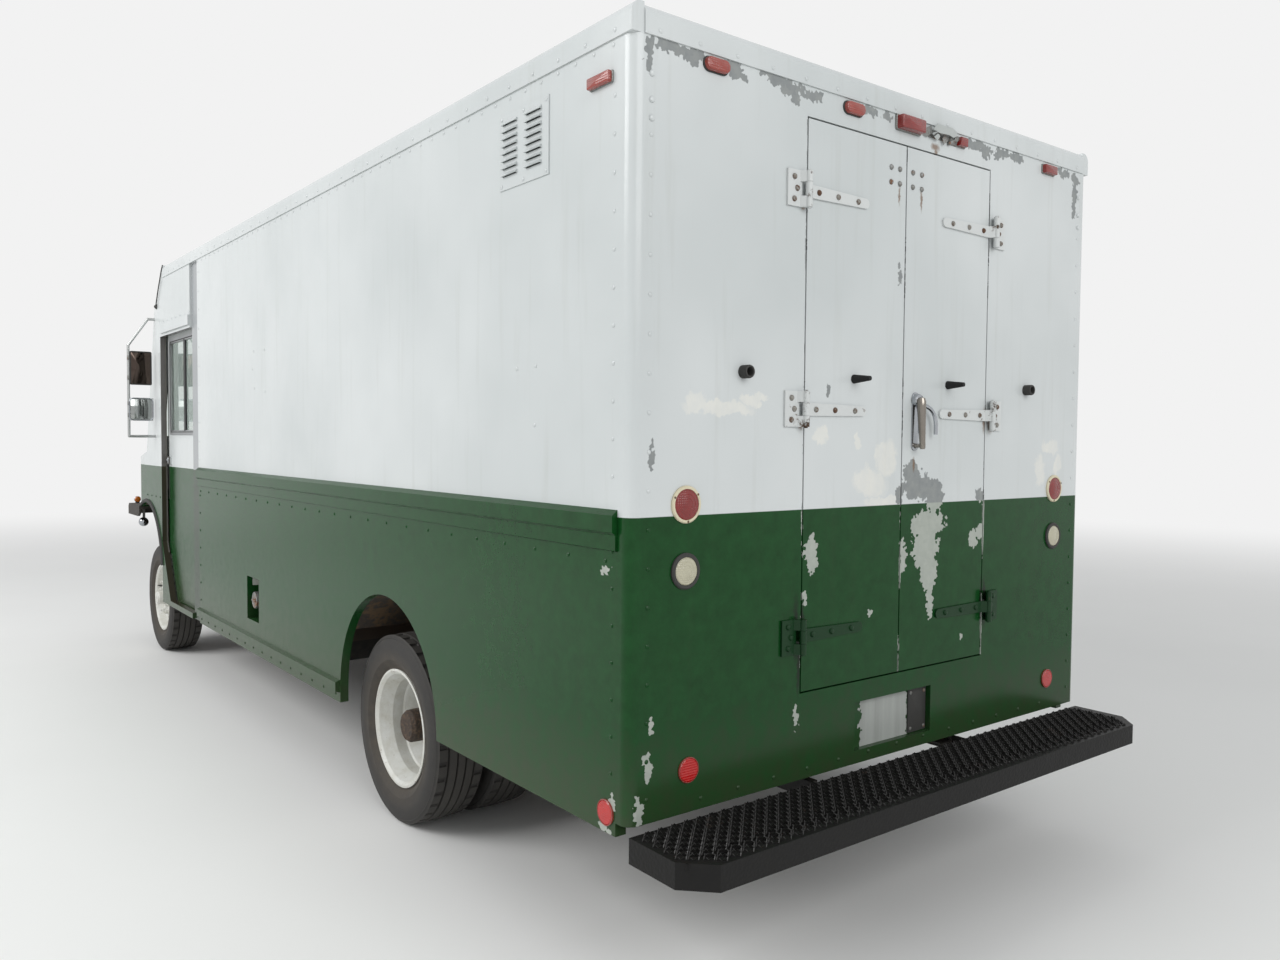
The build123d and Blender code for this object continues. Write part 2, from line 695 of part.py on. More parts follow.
def wheel_houses():
    skin = HOUSE_SKIN
    rear = rear_arch(REAR_HOUSE_IN, HALF - WALL, skin) - rear_arch(REAR_HOUSE_IN + skin, HALF)
    rear -= block(0, CARGO_END, 0, HALF, 0, FLOOR_TOP - FLOOR_PLATE)
    front = front_arch(FRONT_HOUSE_IN, HALF - NOSE_SKIN, skin)
    front -= front_arch(FRONT_HOUSE_IN + skin, HALF)
    front -= block(CARGO_END, SCREEN_BASE[0], HALF - WALL, HALF, 0, SCREEN_BASE[1])
    front -= block(CARGO_END, CAB_OPEN_END + 20, DOOR_POCKET_Y, HALF, 0, SCREEN_BASE[1])
    front -= block(CARGO_END, NOSE_X, 0, HALF, 0, NOSE_LOW)
    cheek_x, cheek_y = CHEEK_X - NOSE_SKIN, CHEEK_HALF - NOSE_SKIN
    front -= block(cheek_x, NOSE_X, cheek_y, HALF, 0, SCREEN_BASE[1])
    return both_sides(rear) + both_sides(front)


def step_wells():
    x0, x1 = STEP_WELL_X
    y0, y1 = STEP_WELL_IN, DOOR_POCKET_Y
    skin = STEP_WELL_SKIN
    well = block(x0, x1, y0, y1, STEP_WELL_FLOOR - skin, FLOOR_TOP)
    return both_sides(well - block(x0 + skin, x1 - skin, y0 + skin, HALF, STEP_WELL_FLOOR, FLOOR_TOP + 1))


def bulkhead():
    x0, x1 = BULKHEAD_X, BULKHEAD_X + BULKHEAD_THICK
    wall = block(x0, x1, -DOOR_POCKET_Y, DOOR_POCKET_Y, FLOOR_TOP, ROOF_EDGE_Z - ROOF_THICK)
    return wall - block(x0 - 1, x1 + 1, -DOORWAY_HALF, DOORWAY_HALF, FLOOR_TOP - 1, DOORWAY_TOP)


# Cab

def cab_outline(inset):
    # Side outline of the cab front, each slanted wall set in by the same amount.
    def shifted(point, start, end):
        run, rise = end[0] - start[0], end[1] - start[1]
        size = math.hypot(run, rise)
        return point[0] + rise / size * inset, point[1] - run / size * inset

    return [
        (CAP_REAR_X, ROOF_RAIL_TOP - inset * 1.3),
        shifted(CAP_FRONT, (CAP_REAR_X, ROOF_RAIL_TOP), CAP_FRONT),
        shifted(SCREEN_TOP, SCREEN_TOP, SCREEN_BASE),
        (SCREEN_BASE[0] - inset, SCREEN_BASE[1]),
        (SCREEN_BASE[0] - inset, FLOOR_TOP - FLOOR_PLATE),
    ]


def cab_shell():
    back = [(CARGO_END, SKIRT_FRONT_Z), (CARGO_END, ROOF_RAIL_LOW), (CAP_REAR_X, ROOF_RAIL_LOW)]
    side = back + cab_outline(0) + [(SCREEN_BASE[0], SKIRT_FRONT_Z)]
    wall = side_prism(side, HALF - WALL, HALF)
    wall -= block(CARGO_END, PILLAR_END, HALF - PILLAR_SET_IN, HALF + 1, 0, ROOF_RAIL_LOW)
    opening = [
        (PILLAR_END, CAB_DOOR_LOW), (CAB_OPEN_LOW_END, CAB_DOOR_LOW),
        (CAB_OPEN_END, CAB_NOTCH_Z), (CAB_OPEN_END, DOOR_HEAD_Z), (PILLAR_END, DOOR_HEAD_Z),
    ]
    wall -= side_prism(opening, HALF - WALL - 1, HALF + 1) + front_arch(HALF - WALL - 1, HALF + 1)
    front = side_prism(cab_outline(0) + cab_outline(WALL)[::-1], -HALF + WALL, HALF - WALL)
    front -= screen_opening()
    x0, x1 = CAP_REAR_X, SCREEN_BASE[0] + 1
    cover_top = FLOOR_TOP + ENGINE_COVER_RISE[1]
    front -= block(x0, x1, -ENGINE_HOLE_Y, ENGINE_HOLE_Y, 0, cover_top)
    return both_sides(wall) + front - both_sides(front_arch(FRONT_HOUSE_IN, HALF - WALL, HOUSE_SKIN))


def screen_opening():
    x0, x1 = SCREEN_TOP[0] - 2 * WALL, SCREEN_BASE[0] + 1
    return both_sides(block(x0, x1, SCREEN_POST, SCREEN_GLASS_OUT, *SCREEN_GLASS_Z))


def windshield():
    outer = cab_outline(WALL / 2 - GLASS / 2)
    inner = cab_outline(WALL / 2 + GLASS / 2)
    return side_prism(outer[2:4] + inner[3:1:-1], -HALF, HALF) & screen_opening()


def nose_form(inset):
    # The nose as a solid, or what fills it when it is set in by the skin.
    x0 = SCREEN_BASE[0] - (1 if inset else 0)
    low = NOSE_LOW - (1 if inset else 0)
    outline = [
        (x0, SCREEN_BASE[1] - inset), (HOOD_FRONT[0] - inset / 2, HOOD_FRONT[1] - inset),
        (NOSE_X - inset, NOSE_BROW[1] - inset / 2), (NOSE_X - inset, low), (x0, low),
    ]
    form = side_prism(outline, -HALF + inset, HALF - inset)
    # Ahead of the cheeks it is narrower, between the fenders.
    form -= both_sides(block(CHEEK_X - inset, NOSE_X + 1, CHEEK_HALF - inset, HALF + 1, 0, SCREEN_BASE[1]))
    return fillet(form.edges().filter_by(Axis.Z).group_by(Axis.X)[-1], NOSE_CORNER - inset)


def nose_shell():
    shell = nose_form(0) - nose_form(NOSE_SKIN)
    return shell - both_sides(front_arch(FRONT_HOUSE_IN, HALF + 1))


def hood_zone(gap):
    back = HOOD_BACK_X - (60 if gap else 0)
    y = HOOD_HALF + gap
    return block(back, NOSE_X + 1, -y, y, HOOD_LOW_Z - gap, SCREEN_BASE[1] + 1)


def nose():
    shell = nose_shell() - hood_zone(FACE_GAP)
    x0, x1 = NOSE_X - 2 * NOSE_SKIN, NOSE_X + 1
    shell -= block(x0, x1, -GRILLE_HALF, GRILLE_HALF, *GRILLE_Z)
    return shell - both_sides(rod_x(HEADLAMP_RADIUS, x0, x1, HEADLAMP_Y, HEADLAMP_Z))


def hood():
    panel = nose_shell() & hood_zone(0)
    x, z, edge = HOOD_HINGE_X, HOOD_HINGE_Z, HOOD_BACK_X + 2
    web = [(x, z + HOOD_KNUCKLE), (edge, z + 14), (edge, z - 4), (x, z - HOOD_KNUCKLE)]
    for y in (-HOOD_HINGE_Y, HOOD_HINGE_Y):
        panel += rod_y(HOOD_KNUCKLE, y - 20, y + 20, x, z) + side_prism(web, y - 20, y + 20)
        panel -= rod_y(HOOD_PIN + RUNNING_GAP, y - 21, y + 21, x, z)
    return panel


def hood_hinges():
    x, z, wall = HOOD_HINGE_X, HOOD_HINGE_Z, SCREEN_BASE[0]
    hinge = rod_y(HOOD_PIN, -38, 38, x, z)
    for low in (-38, 21):
        hinge += rod_y(HOOD_KNUCKLE, low, low + 17, x, z)
        hinge += block(wall, x, low, low + 17, z - HOOD_KNUCKLE, z + HOOD_KNUCKLE)
    return joined(Pos(0, y, 0) * hinge for y in (-HOOD_HINGE_Y, HOOD_HINGE_Y))


def grille():
    # Frame with level bars and a middle post, set in the nose opening.
    x0 = NOSE_X - NOSE_SKIN
    y, rim, half_bar = GRILLE_HALF, GRILLE_RIM, GRILLE_BAR / 2
    low, high = GRILLE_Z
    frame = block(x0, NOSE_X, -y, y, low, high)
    frame -= block(x0 - 1, NOSE_X + 1, rim - y, y - rim, low + rim, high - rim)
    pitch = (high - low - 2 * rim) / (GRILLE_BARS + 1)
    for i in range(GRILLE_BARS):
        z = low + rim + (i + 1) * pitch
        frame += block(x0, NOSE_X - 4, rim / 2 - y, y - rim / 2, z - half_bar, z + half_bar)
    return frame + block(x0, NOSE_X - 6, -8, 8, low + rim / 2, high - rim / 2)


def headlamps():
    lamp = rod_x(HEADLAMP_RADIUS, NOSE_X - 2 * NOSE_SKIN, NOSE_X + 6, HEADLAMP_Y, HEADLAMP_Z)
    turn = rod_x(TURN_LAMP_RADIUS, NOSE_X, NOSE_X + 14, TURN_LAMP_Y, HEADLAMP_Z + 20)
    x, y, r = FENDER_LAMP_X, FENDER_LAMP_Y, FENDER_LAMP_RADIUS
    marker = rod_x(r, x - 22, x + 22, y, FENDER_TOP + r + 4)
    marker += block(x - 16, x + 16, y - 14, y + 14, FENDER_TOP, FENDER_TOP + 12)
    x, r = DRIVING_LAMP_X, DRIVING_LAMP_RADIUS
    driving = rod_x(r, x - 30, x + 22, y, DRIVING_LAMP_Z)
    driving += block(x - 12, x + 8, y - 10, y + 10, DRIVING_LAMP_Z + r - 4, FENDER_TOP - FENDER_THICK)
    return both_sides(lamp + turn + marker + driving)


def front_fenders():
    # Shelves over the front wheels with a lip at the front and along the outer edge.
    x0, x1, lip = CHEEK_X, NOSE_X, FENDER_LIP
    under, low = FENDER_TOP - FENDER_THICK, FENDER_LIP_LOW
    crown = [(x0, under), (x0, FENDER_TOP), (x1 - 25, FENDER_TOP), (x1, FENDER_TOP - 25), (x1, under)]
    shelf = side_prism(crown, CHEEK_HALF, FENDER_OUT)
    edge = [(x0, low + 30), (x0, under), (x1, under), (x1, low), (x0 + 60, low)]
    shelf += side_prism(edge, FENDER_OUT - lip, FENDER_OUT)
    return both_sides(shelf + block(x1 - lip, x1, CHEEK_HALF + 40, FENDER_OUT, low, under))


def cab_door():
    lap = CAB_DOOR_LAP
    x0, x1 = PILLAR_END - lap, CAB_OPEN_END - 10
    top = DOOR_HEAD_Z + lap
    outline = [
        (x0, CAB_DOOR_LOW - lap), (CAB_OPEN_LOW_END - FACE_GAP, CAB_DOOR_LOW - lap),
        (x1, CAB_NOTCH_Z - 20), (x1, top), (x0, top),
    ]
    y = CAB_DOOR_MIDDLE_Y
    leaf = side_prism(outline, CAB_DOOR_OUT - CAB_DOOR_THICK, CAB_DOOR_OUT)
    leaf -= cab_window()
    # Rollers in the track stand on its slotted floor.
    roller_z = top + TRACK_GAP + TRACK_SKIN + ROLLER_RADIUS + SOFT_GAP
    long, thin = HANGER_HALF
    for x in (PILLAR_END + 120, CAB_OPEN_END - 140):
        leaf += block(x - long, x + long, y - thin, y + thin, top, roller_z + 10)
        leaf += rod_y(ROLLER_RADIUS, y - ROLLER_HALF, y + ROLLER_HALF, x, roller_z)
    x = CAB_OPEN_END - 70
    return leaf + block(x - 30, x + 30, CAB_DOOR_OUT, CAB_DOOR_OUT + 22, *CAB_HANDLE_Z)


def cab_window():
    x0, x1 = PILLAR_END + 30, CAB_OPEN_END - 70
    return block(x0, x1, CAB_DOOR_OUT - CAB_DOOR_THICK - 1, CAB_DOOR_OUT + 1, *CAB_GLASS_Z)


def cab_door_glass():
    y = CAB_DOOR_MIDDLE_Y
    return cab_window() & block(0, NOSE_X, y - GLASS / 2, y + GLASS / 2, 0, ROOF_EDGE_Z)


def door_tracks():
    # A hollow channel with a slot below, from the door head back over the load body.
    y, skin = CAB_DOOR_MIDDLE_Y, TRACK_SKIN
    x0, x1 = DOOR_POCKET_X, CAB_OPEN_END - 10
    low = DOOR_HEAD_Z + CAB_DOOR_LAP + TRACK_GAP
    high = low + TRACK_HEIGHT
    inner = TRACK_HALF - skin
    channel = block(x0, x1, y - TRACK_HALF, HALF - WALL, low, high)
    channel -= block(x0 - 1, x1 + 1, y - inner, y + inner, low + skin, high - skin)
    slot = TRACK_SLOT_HALF
    return both_sides(channel - block(x0 - 1, x1 + 1, y - slot, y + slot, low - 1, low + skin + 1))


def door_headers():
    # Drip moulding over each cab door.
    return both_sides(block(PILLAR_END, CAB_OPEN_END - 40, HALF, HALF + HEADER_OUT, *HEADER_Z))


def dashboard():
    front = SCREEN_BASE[0] - WALL
    rear = front - DASH_DEPTH
    top, edge, low = [SCREEN_BASE[1] - drop for drop in DASH_DROP]
    outline = [(rear, low), (rear, edge), (rear + DASH_SLOPE, top), (front, top), (front, low)]
    shelf = side_prism(outline, -HALF + 2 * WALL, HALF - 2 * WALL)
    tilt = Rot(0, -STEERING_TILT, 0)
    across = 2 * STEERING_RADIUS - 10
    wheel = Torus(STEERING_RADIUS, 15) + Cylinder(40, 30) + Box(across, 26, 10) + Box(26, across, 10)
    column = Pos(0, 0, -STEERING_COLUMN / 2) * Cylinder(28, STEERING_COLUMN)
    return shelf + Pos(*STEERING_HUB) * tilt * (wheel + column)


def engine_cover():
    rear, front, skin = ENGINE_HOLE_X, SCREEN_BASE[0] - WALL, ENGINE_COVER_SKIN
    low, high = [FLOOR_TOP + rise for rise in ENGINE_COVER_RISE]
    outer = [(rear - skin, FLOOR_TOP), (rear + 40, low), (front, high), (front, FLOOR_TOP)]
    base = FLOOR_TOP - 1
    inner = [(rear, base), (rear + 60, low - skin), (front + 1, high - skin), (front + 1, base)]
    y = ENGINE_HOLE_Y
    return side_prism(outer, -y - skin, y + skin) - side_prism(inner, -y, y)


def seat_base():
    def tier(x0, x1, half, z0, z1):
        return block(SEAT_X + x0, SEAT_X + x1, DRIVER_Y - half, DRIVER_Y + half, z0, z1)

    length, width = SEAT_PLATE_SIZE
    foot = tier(30, length - 40, 180, FLOOR_TOP, FLOOR_TOP + 30)
    post = tier(80, length - 90, 130, FLOOR_TOP + 30, SEAT_Z)
    return foot + post + tier(0, length, width / 2, SEAT_Z, SEAT_Z + SEAT_PLATE)


def seat_cushion():
    length, width, high = SEAT_PAD
    base = SEAT_Z + SEAT_PLATE + SOFT_GAP
    pad = Box(length, width, high)
    pad = fillet(pad.edges(), SEAT_ROUND)
    back = Box(*SEAT_BACK)
    back = fillet(back.edges(), SEAT_ROUND)
    lean = Pos(SEAT_X - 10, DRIVER_Y, SEAT_Z + 400) * Rot(0, -SEAT_BACK_TILT, 0)
    return Pos(SEAT_X + length / 2, DRIVER_Y, base + high / 2) * pad + lean * back


def mirrors():
    # A tube loop off the front corner of the cab, its top corner cut off, with a flat head
    # over a convex one.
    x, y, r = MIRROR_X, MIRROR_Y, MIRROR_TUBE
    low, high = MIRROR_Z
    knee, shoulder = MIRROR_SHOULDER
    loop = rod_y(r, HALF, y, x, low) + rod_z(r, low, shoulder, x, y) + rod_y(r, HALF, knee, x, high)
    slope = Plane(origin=(x, knee, high), z_dir=(0, y - knee, shoulder - high))
    run = math.hypot(y - knee, high - shoulder)
    loop += slope * Cylinder(r, run, align=(Align.CENTER, Align.CENTER, Align.MIN))
    for at in ((y, low), (y, shoulder), (knee, high)):
        loop += Pos(x, *at) * Sphere(r)
    for head in (MIRROR_FLAT, MIRROR_CONVEX):
        loop += block(x - 2 * r, x + 2, *head)
    return both_sides(loop)


def rub_rails():
    belt = [(HALF + out, BELT_Z + up) for out, up in BELT_PROFILE]
    low = [(HALF + out, LOW_RAIL_Z + up) for out, up in LOW_RAIL_PROFILE]
    low_start = REAR_ARCH_X + REAR_ARCH_RADIUS + 12
    return both_sides(
        cross_prism(belt, REAR_FRAME_DEPTH, CARGO_END) + cross_prism(low, low_start, CARGO_END)
    )


def tail_lamps():
    lamps = []
    for z in TAIL_LAMP_Z:
        lamp = rod_x(TAIL_LAMP_RADIUS, -TAIL_LAMP_OUT, 0, TAIL_LAMP_Y, z)
        lamps.append(both_sides(fillet(lamp.edges().sort_by(Axis.X)[:1], 6)))
    y_half, z_half = TOP_LAMP_HALF
    for y in TOP_LAMPS_Y:
        z = TOP_LAMP_Z
        lamps.append(block(-TOP_LAMP_OUT, 0, y - y_half, y + y_half, z - z_half, z + z_half))
    out = REFLECTOR_OUT
    lamps.append(both_sides(rod_x(REFLECTOR_RADIUS, -out, 0, *REAR_REFLECTOR)))
    lamps.append(both_sides(rod_y(REFLECTOR_RADIUS, HALF, HALF + out, *SIDE_REFLECTOR)))
    marker = block(*SIDE_MARKER_X, HALF, HALF + SIDE_MARKER_OUT, *SIDE_MARKER_Z)
    return joined(lamps) + both_sides(marker)


# Serving hatch

def hatch_axis():
    return -HALF - HATCH_HINGE_OUT, HATCH_Z[1] + HATCH_HINGE_UP


def serving_hatch():
    gap = FACE_GAP
    x0, x1 = HATCH_X[0] + gap, HATCH_X[1] - gap
    return block(x0, x1, -HALF, -HALF + HATCH_THICK, HATCH_Z[0] + gap, HATCH_Z[1] - gap)


def hatch_hinges_fixed():
    y, z = hatch_axis()
    half = HATCH_LEAF_HALF
    hinge = rod_x(HATCH_PIN, -half - 46, half + 46, y, z)
    for x0, x1 in ((-half - 45, -half - 1), (half + 1, half + 45)):
        hinge += rod_x(HATCH_KNUCKLE, x0, x1, y, z)
        hinge += block(x0, x1, -HALF - 4, -HALF, z, z + 60) + block(x0, x1, y, -HALF, z - 2, z + 6)
    return joined(Pos(x, 0, 0) * hinge for x in HATCH_HINGES_X)


def hatch_hinges_moving():
    y, z = hatch_axis()
    half = HATCH_LEAF_HALF
    leaf = rod_x(HATCH_KNUCKLE, -half, half, y, z)
    leaf += block(-half, half, -HALF - 4, -HALF, z - 90, z - FACE_GAP - 14)
    web = [(y - 6, z), (y + 4, z), (-HALF, z - 26), (-HALF - 4, z - 32)]
    leaf += cross_prism(web, -half, half)
    leaf -= rod_x(HATCH_PIN + RUNNING_GAP, -half - 1, half + 1, y, z)
    return joined(Pos(x, 0, 0) * leaf for x in HATCH_HINGES_X)


def serving_counter():
    y = -HALF + WALL
    top = HATCH_Z[0] - 10
    under = top - COUNTER_THICK
    counter = block(*HATCH_X, y, y + COUNTER_DEPTH, under, top)
    bracket = [(y, under), (y + COUNTER_DEPTH - 60, under), (y, under - 220)]
    for x in (HATCH_X[0] + 80, sum(HATCH_X) / 2, HATCH_X[1] - 110):
        counter += cross_prism(bracket, x, x + 30)
    return counter


# Chassis

def ladder_rails():
    inner = RAIL_OUT - RAIL_WEB
    top = RAIL_HIGH - RAIL_WEB
    rail = block(RAIL_START, RAIL_END, inner, RAIL_OUT, RAIL_LOW, RAIL_HIGH)
    for low in (RAIL_LOW, top):
        rail += block(RAIL_START, RAIL_END, RAIL_OUT - RAIL_FLANGE, RAIL_OUT, low, low + RAIL_WEB)
    return both_sides(rail)


def crossmembers():
    # Even members between the rails, clear of the axles, springs and gearbox.
    ahead, behind = FRONT_AXLE_X, REAR_AXLE_X
    middle = ((behind + 663) + (ahead - 1717)) / 2
    places = (140, behind - 657, behind + 663, middle, ahead - 1717, ahead - 797, ahead + 543)
    y, top = RAIL_OUT - RAIL_WEB, RAIL_HIGH - RAIL_WEB
    return joined(block(x, x + CROSS_WIDTH, -y, y, top - CROSS_HEIGHT, top) for x in places)


def rear_axle():
    x, z = REAR_AXLE_X, TYRE_RADIUS
    axle = rod_y(AXLE_TUBE, -REAR_TUBE_END, REAR_TUBE_END, x, z)
    axle += both_sides(rod_y(SPINDLE_RADIUS, REAR_TUBE_END, REAR_HUB_END - 6, x, z))
    axle += Pos(x, 0, z) * Sphere(BANJO_RADIUS)
    axle += rod_x(AXLE_TUBE, x, x + PINION_REACH, 0, z)
    y0, y1 = SPRING_Y - SPRING_WIDTH / 2, SPRING_Y + SPRING_WIDTH / 2
    seat_top = z + AXLE_TUBE + SPRING_SEAT
    return axle + both_sides(block(x - AXLE_TUBE, x + AXLE_TUBE, y0, y1, z, seat_top))


def leaf_pack(half_length, rise, leaves, low_z, x, y):
    # Stacked leaves, each shorter than the one above, bent on flat arcs.
    pack = []
    for i in range(leaves):
        share = 1 - 0.26 * (leaves - 1 - i)
        reach = half_length * share
        low = low_z + LEAF_THICK * i
        high = low + LEAF_THICK
        lift = rise * share * share
        outline = ThreePointArc((-reach, low + lift), (0, low), (reach, low + lift))
        outline += Line((reach, low + lift), (reach, high + lift))
        outline += ThreePointArc((reach, high + lift), (0, high), (-reach, high + lift))
        outline += Line((-reach, high + lift), (-reach, low + lift))
        face = make_face(Plane.XZ * outline)
        pack.append(Pos(0, SPRING_WIDTH / 2, 0) * extrude(face, amount=SPRING_WIDTH, dir=(0, -1, 0)))
    return Pos(x, y, 0) * joined(pack)


def leaf_springs():
    seat = TYRE_RADIUS + AXLE_TUBE + SPRING_SEAT
    rear = leaf_pack(REAR_SPRING_HALF, REAR_SPRING_RISE, REAR_LEAVES, seat, REAR_AXLE_X, SPRING_Y)
    end_z = seat + REAR_LEAVES * LEAF_THICK + REAR_SPRING_RISE
    y_out = SPRING_Y + SPRING_WIDTH / 2
    for sign in (-1, 1):
        x = REAR_AXLE_X + sign * REAR_SPRING_HALF
        rear += block(x - HANGER / 2, x + HANGER / 2, RAIL_OUT, y_out, end_z - 40, end_z + 40)
    y = FRONT_SPRING_Y
    front = leaf_pack(FRONT_SPRING_HALF, FRONT_SPRING_RISE, FRONT_LEAVES, BEAM_TOP, FRONT_AXLE_X, y)
    half = SPRING_WIDTH / 2
    for sign in (-1, 1):
        x = FRONT_AXLE_X + sign * FRONT_SPRING_HALF
        low = BEAM_TOP + FRONT_SPRING_RISE + 2
        front += block(x - HANGER / 2, x + HANGER / 2, y - half, y + half, low, RAIL_LOW)
    return both_sides(rear) + both_sides(front)


def front_axle():
    # An I beam, dropped between the kingpins.
    x, k = FRONT_AXLE_X, KINGPIN_Y
    half = [
        (k - 300, BEAM_LOW), (k - 200, EYE_LOW + 5), (k, EYE_LOW + 10),
        (k, EYE_HIGH - 10), (k - 160, EYE_HIGH - 30), (k - 260, BEAM_TOP),
    ]
    beam = cross_prism(half + [(-y, z) for y, z in half[::-1]], x - BEAM_HALF_WIDTH, x + BEAM_HALF_WIDTH)
    for sign in (-1, 1):
        x0, x1 = sorted((x + sign * BEAM_WEB, x + sign * (BEAM_HALF_WIDTH + 1)))
        beam -= block(x0, x1, 310 - k, k - 310, BEAM_LOW + BEAM_FLANGE, BEAM_TOP - BEAM_FLANGE)
    for y in (-k, k):
        beam += rod_z(EYE_RADIUS, EYE_LOW, EYE_HIGH, x, y)
        beam -= rod_z(KINGPIN_RADIUS + RUNNING_GAP, EYE_LOW - 1, EYE_HIGH + 1, x, y)
    return beam


def knuckle():
    # Left steering knuckle: two ears, kingpin, spindle and steering arm.
    x, y, z = FRONT_AXLE_X, KINGPIN_Y, TYRE_RADIUS
    low, high, r = KNUCKLE_LOW, KNUCKLE_HIGH, EYE_RADIUS
    web_out = KNUCKLE_WEB_IN + KNUCKLE_WEB
    part = rod_z(KINGPIN_RADIUS, low, high, x, y)
    for z0 in (low, EYE_HIGH + EAR_GAP):
        part += rod_z(r, z0, z0 + EAR, x, y) + block(x - r, x + r, y, web_out, z0, z0 + EAR)
    part += block(x - r, x + r, KNUCKLE_WEB_IN, web_out, low, high)
    part += rod_y(SPINDLE_COLLAR_RADIUS, web_out, web_out + SPINDLE_COLLAR, x, z)
    part += rod_y(SPINDLE_RADIUS, web_out, FRONT_SPINDLE_END, x, z)
    back, top = x - STEER_ARM_BACK, low + STEER_ARM
    arm = [(x - 20, y + 20), (back, y + TIE_ROD_EYE), (back, y - TIE_ROD_EYE), (x - 20, y - 30)]
    part += plan_prism(arm, low, top) + rod_z(TIE_ROD_EYE, low, top, back, y)
    return part + rod_z(STEER_STUD_RADIUS, top, top + STEER_STUD, back, y)


def tie_rod():
    x, low, high = FRONT_AXLE_X - STEER_ARM_BACK, TIE_ROD_LOW, TIE_ROD_LOW + TIE_ROD_EYE_HEIGHT
    rod = rod_y(TIE_ROD_RADIUS, -KINGPIN_Y, KINGPIN_Y, x, (low + high) / 2)
    for y in (-KINGPIN_Y, KINGPIN_Y):
        rod += rod_z(TIE_ROD_EYE, low, high, x, y)
        rod -= rod_z(STEER_STUD_RADIUS + RUNNING_GAP, low - 1, high + 1, x, y)
    return rod


def tyre():
    wide, rim_half, r = TYRE_WIDTH / 2, RIM_WIDTH / 2, TYRE_RADIUS
    tread = wide - SHOULDER
    bead = RIM_RADIUS - BEAD_STEP
    half = [(bead, rim_half - 12), (RIM_RADIUS + 6, rim_half - 2), (r - 72, wide), (r - 22, tread + 6)]
    half += [(r - 8, tread + 1), (r - 3, tread - 10)]
    left, right = half, [(radius, -y) for radius, y in half]
    outline = Line(right[0], left[0]) + Line(left[0], left[1])
    outline += ThreePointArc(left[1], left[2], left[3]) + ThreePointArc(left[3], left[4], left[5])
    outline += ThreePointArc(left[5], (r, 0), right[5])
    outline += ThreePointArc(right[5], right[4], right[3]) + ThreePointArc(right[3], right[2], right[1])
    outline += Line(right[1], right[0])
    return revolve(make_face(outline), axis=Axis.Y)


def disc_wheel(disc_y):
    # Steel disc wheel: a rim with flanges and a well, and a dished disc with hand holes.
    w = RIM_WIDTH / 2
    bead, well = RIM_RADIUS - BEAD_STEP, RIM_RADIUS - WELL_STEP
    outside = [(RIM_RADIUS, w + 4), (bead, w - 8), (bead, w - 46), (well, w - 60)]
    inside = [(well - 9, w - 62), (bead - RIM_SKIN, w - 6), (RIM_RADIUS - RIM_SKIN, w + 6)]
    outline = outside + [(r, -y) for r, y in outside[::-1]]
    outline += [(r, -y) for r, y in inside[::-1]] + inside
    side = 1 if disc_y >= 0 else -1
    face, half, flat = abs(disc_y), DISC_THICK / 2, HUB_RADIUS + DISC_FLAT
    dish = [
        (HUB_RADIUS, face - half), (flat, face - half), (well - 18, 22), (well - 4, 14),
        (well - 4, 30), (well - 10, 32), (flat + 8, face + half), (HUB_RADIUS, face + half),
    ]
    disc = ring([(radius, side * y) for radius, y in dish])
    hole = rod_y(HAND_HOLE_RADIUS, side * face - 2 * WELL_STEP, side * face + 2 * WELL_STEP, 0, 0)
    middle = (flat + well) / 2 - 4
    for i in range(HAND_HOLES):
        disc -= Rot(0, 360 / HAND_HOLES * i, 0) * Pos(middle, 0, 0) * hole
    return ring(outline) + disc


def brake_drum(hub_radius, face, inner_end):
    # A drum that opens inwards; face is where its web meets the hub.
    r, skin = DRUM_RADIUS, DRUM_SKIN
    return ring([
        (hub_radius, face), (r, face - 4), (r, inner_end), (r - skin, inner_end),
        (r - skin, face - 4 - skin), (hub_radius, face - 2 - skin),
    ])


def front_wheel():
    face, bore = FRONT_DISC_Y, SPINDLE_RADIUS + RUNNING_GAP
    hub_in, end = FRONT_HUB_IN - WHEEL_Y, FRONT_SPINDLE_END + 4 - WHEEL_Y
    barrel = SPINDLE_RADIUS + HUB_BORE_WALL
    hub = ring([
        (bore, hub_in), (bore, end), (0, end), (0, end + 30), (42, end + 30), (52, end + 16),
        (56, face + 10), (HUB_RADIUS + 2, face + 6), (HUB_RADIUS + 2, face - 20),
        (barrel, face - 24), (barrel, hub_in),
    ])
    return disc_wheel(face) + hub + brake_drum(barrel, face - 40, hub_in + 10)


def rear_dual():
    # Two disc wheels face to face on one hub, measured from the middle between the tyres.
    half = DUAL_SPACING / 2
    middle = WHEEL_Y - half
    dish = half - DISC_THICK / 2 - 0.5
    pair = Pos(0, half, 0) * disc_wheel(-dish) + Pos(0, -half, 0) * disc_wheel(dish)
    bore, barrel = SPINDLE_RADIUS + RUNNING_GAP, SPINDLE_RADIUS + HUB_BORE_WALL + 10
    hub_in, end = REAR_HUB_IN - middle, REAR_HUB_END - middle
    hub = ring([
        (bore, hub_in), (bore, end), (0, end), (0, end + 30), (60, end + 30), (72, end + 14),
        (76, 40), (HUB_RADIUS + 3, 20), (HUB_RADIUS + 3, -20), (barrel, -24), (barrel, hub_in),
    ])
    return pair + hub + brake_drum(barrel, -30, hub_in + 20)


def engine():
    x0, z0 = ENGINE_HOLE_X + 60, RAIL_LOW + 50
    mount = block(x0 + 300, x0 + 370, ENGINE_HALF, RAIL_OUT - RAIL_WEB, z0 + 40, z0 + 80)
    top = FLOOR_TOP + ENGINE_COVER_RISE[0] - 60
    return block(x0, x0 + ENGINE_LENGTH, -ENGINE_HALF, ENGINE_HALF, z0, top) + both_sides(mount)


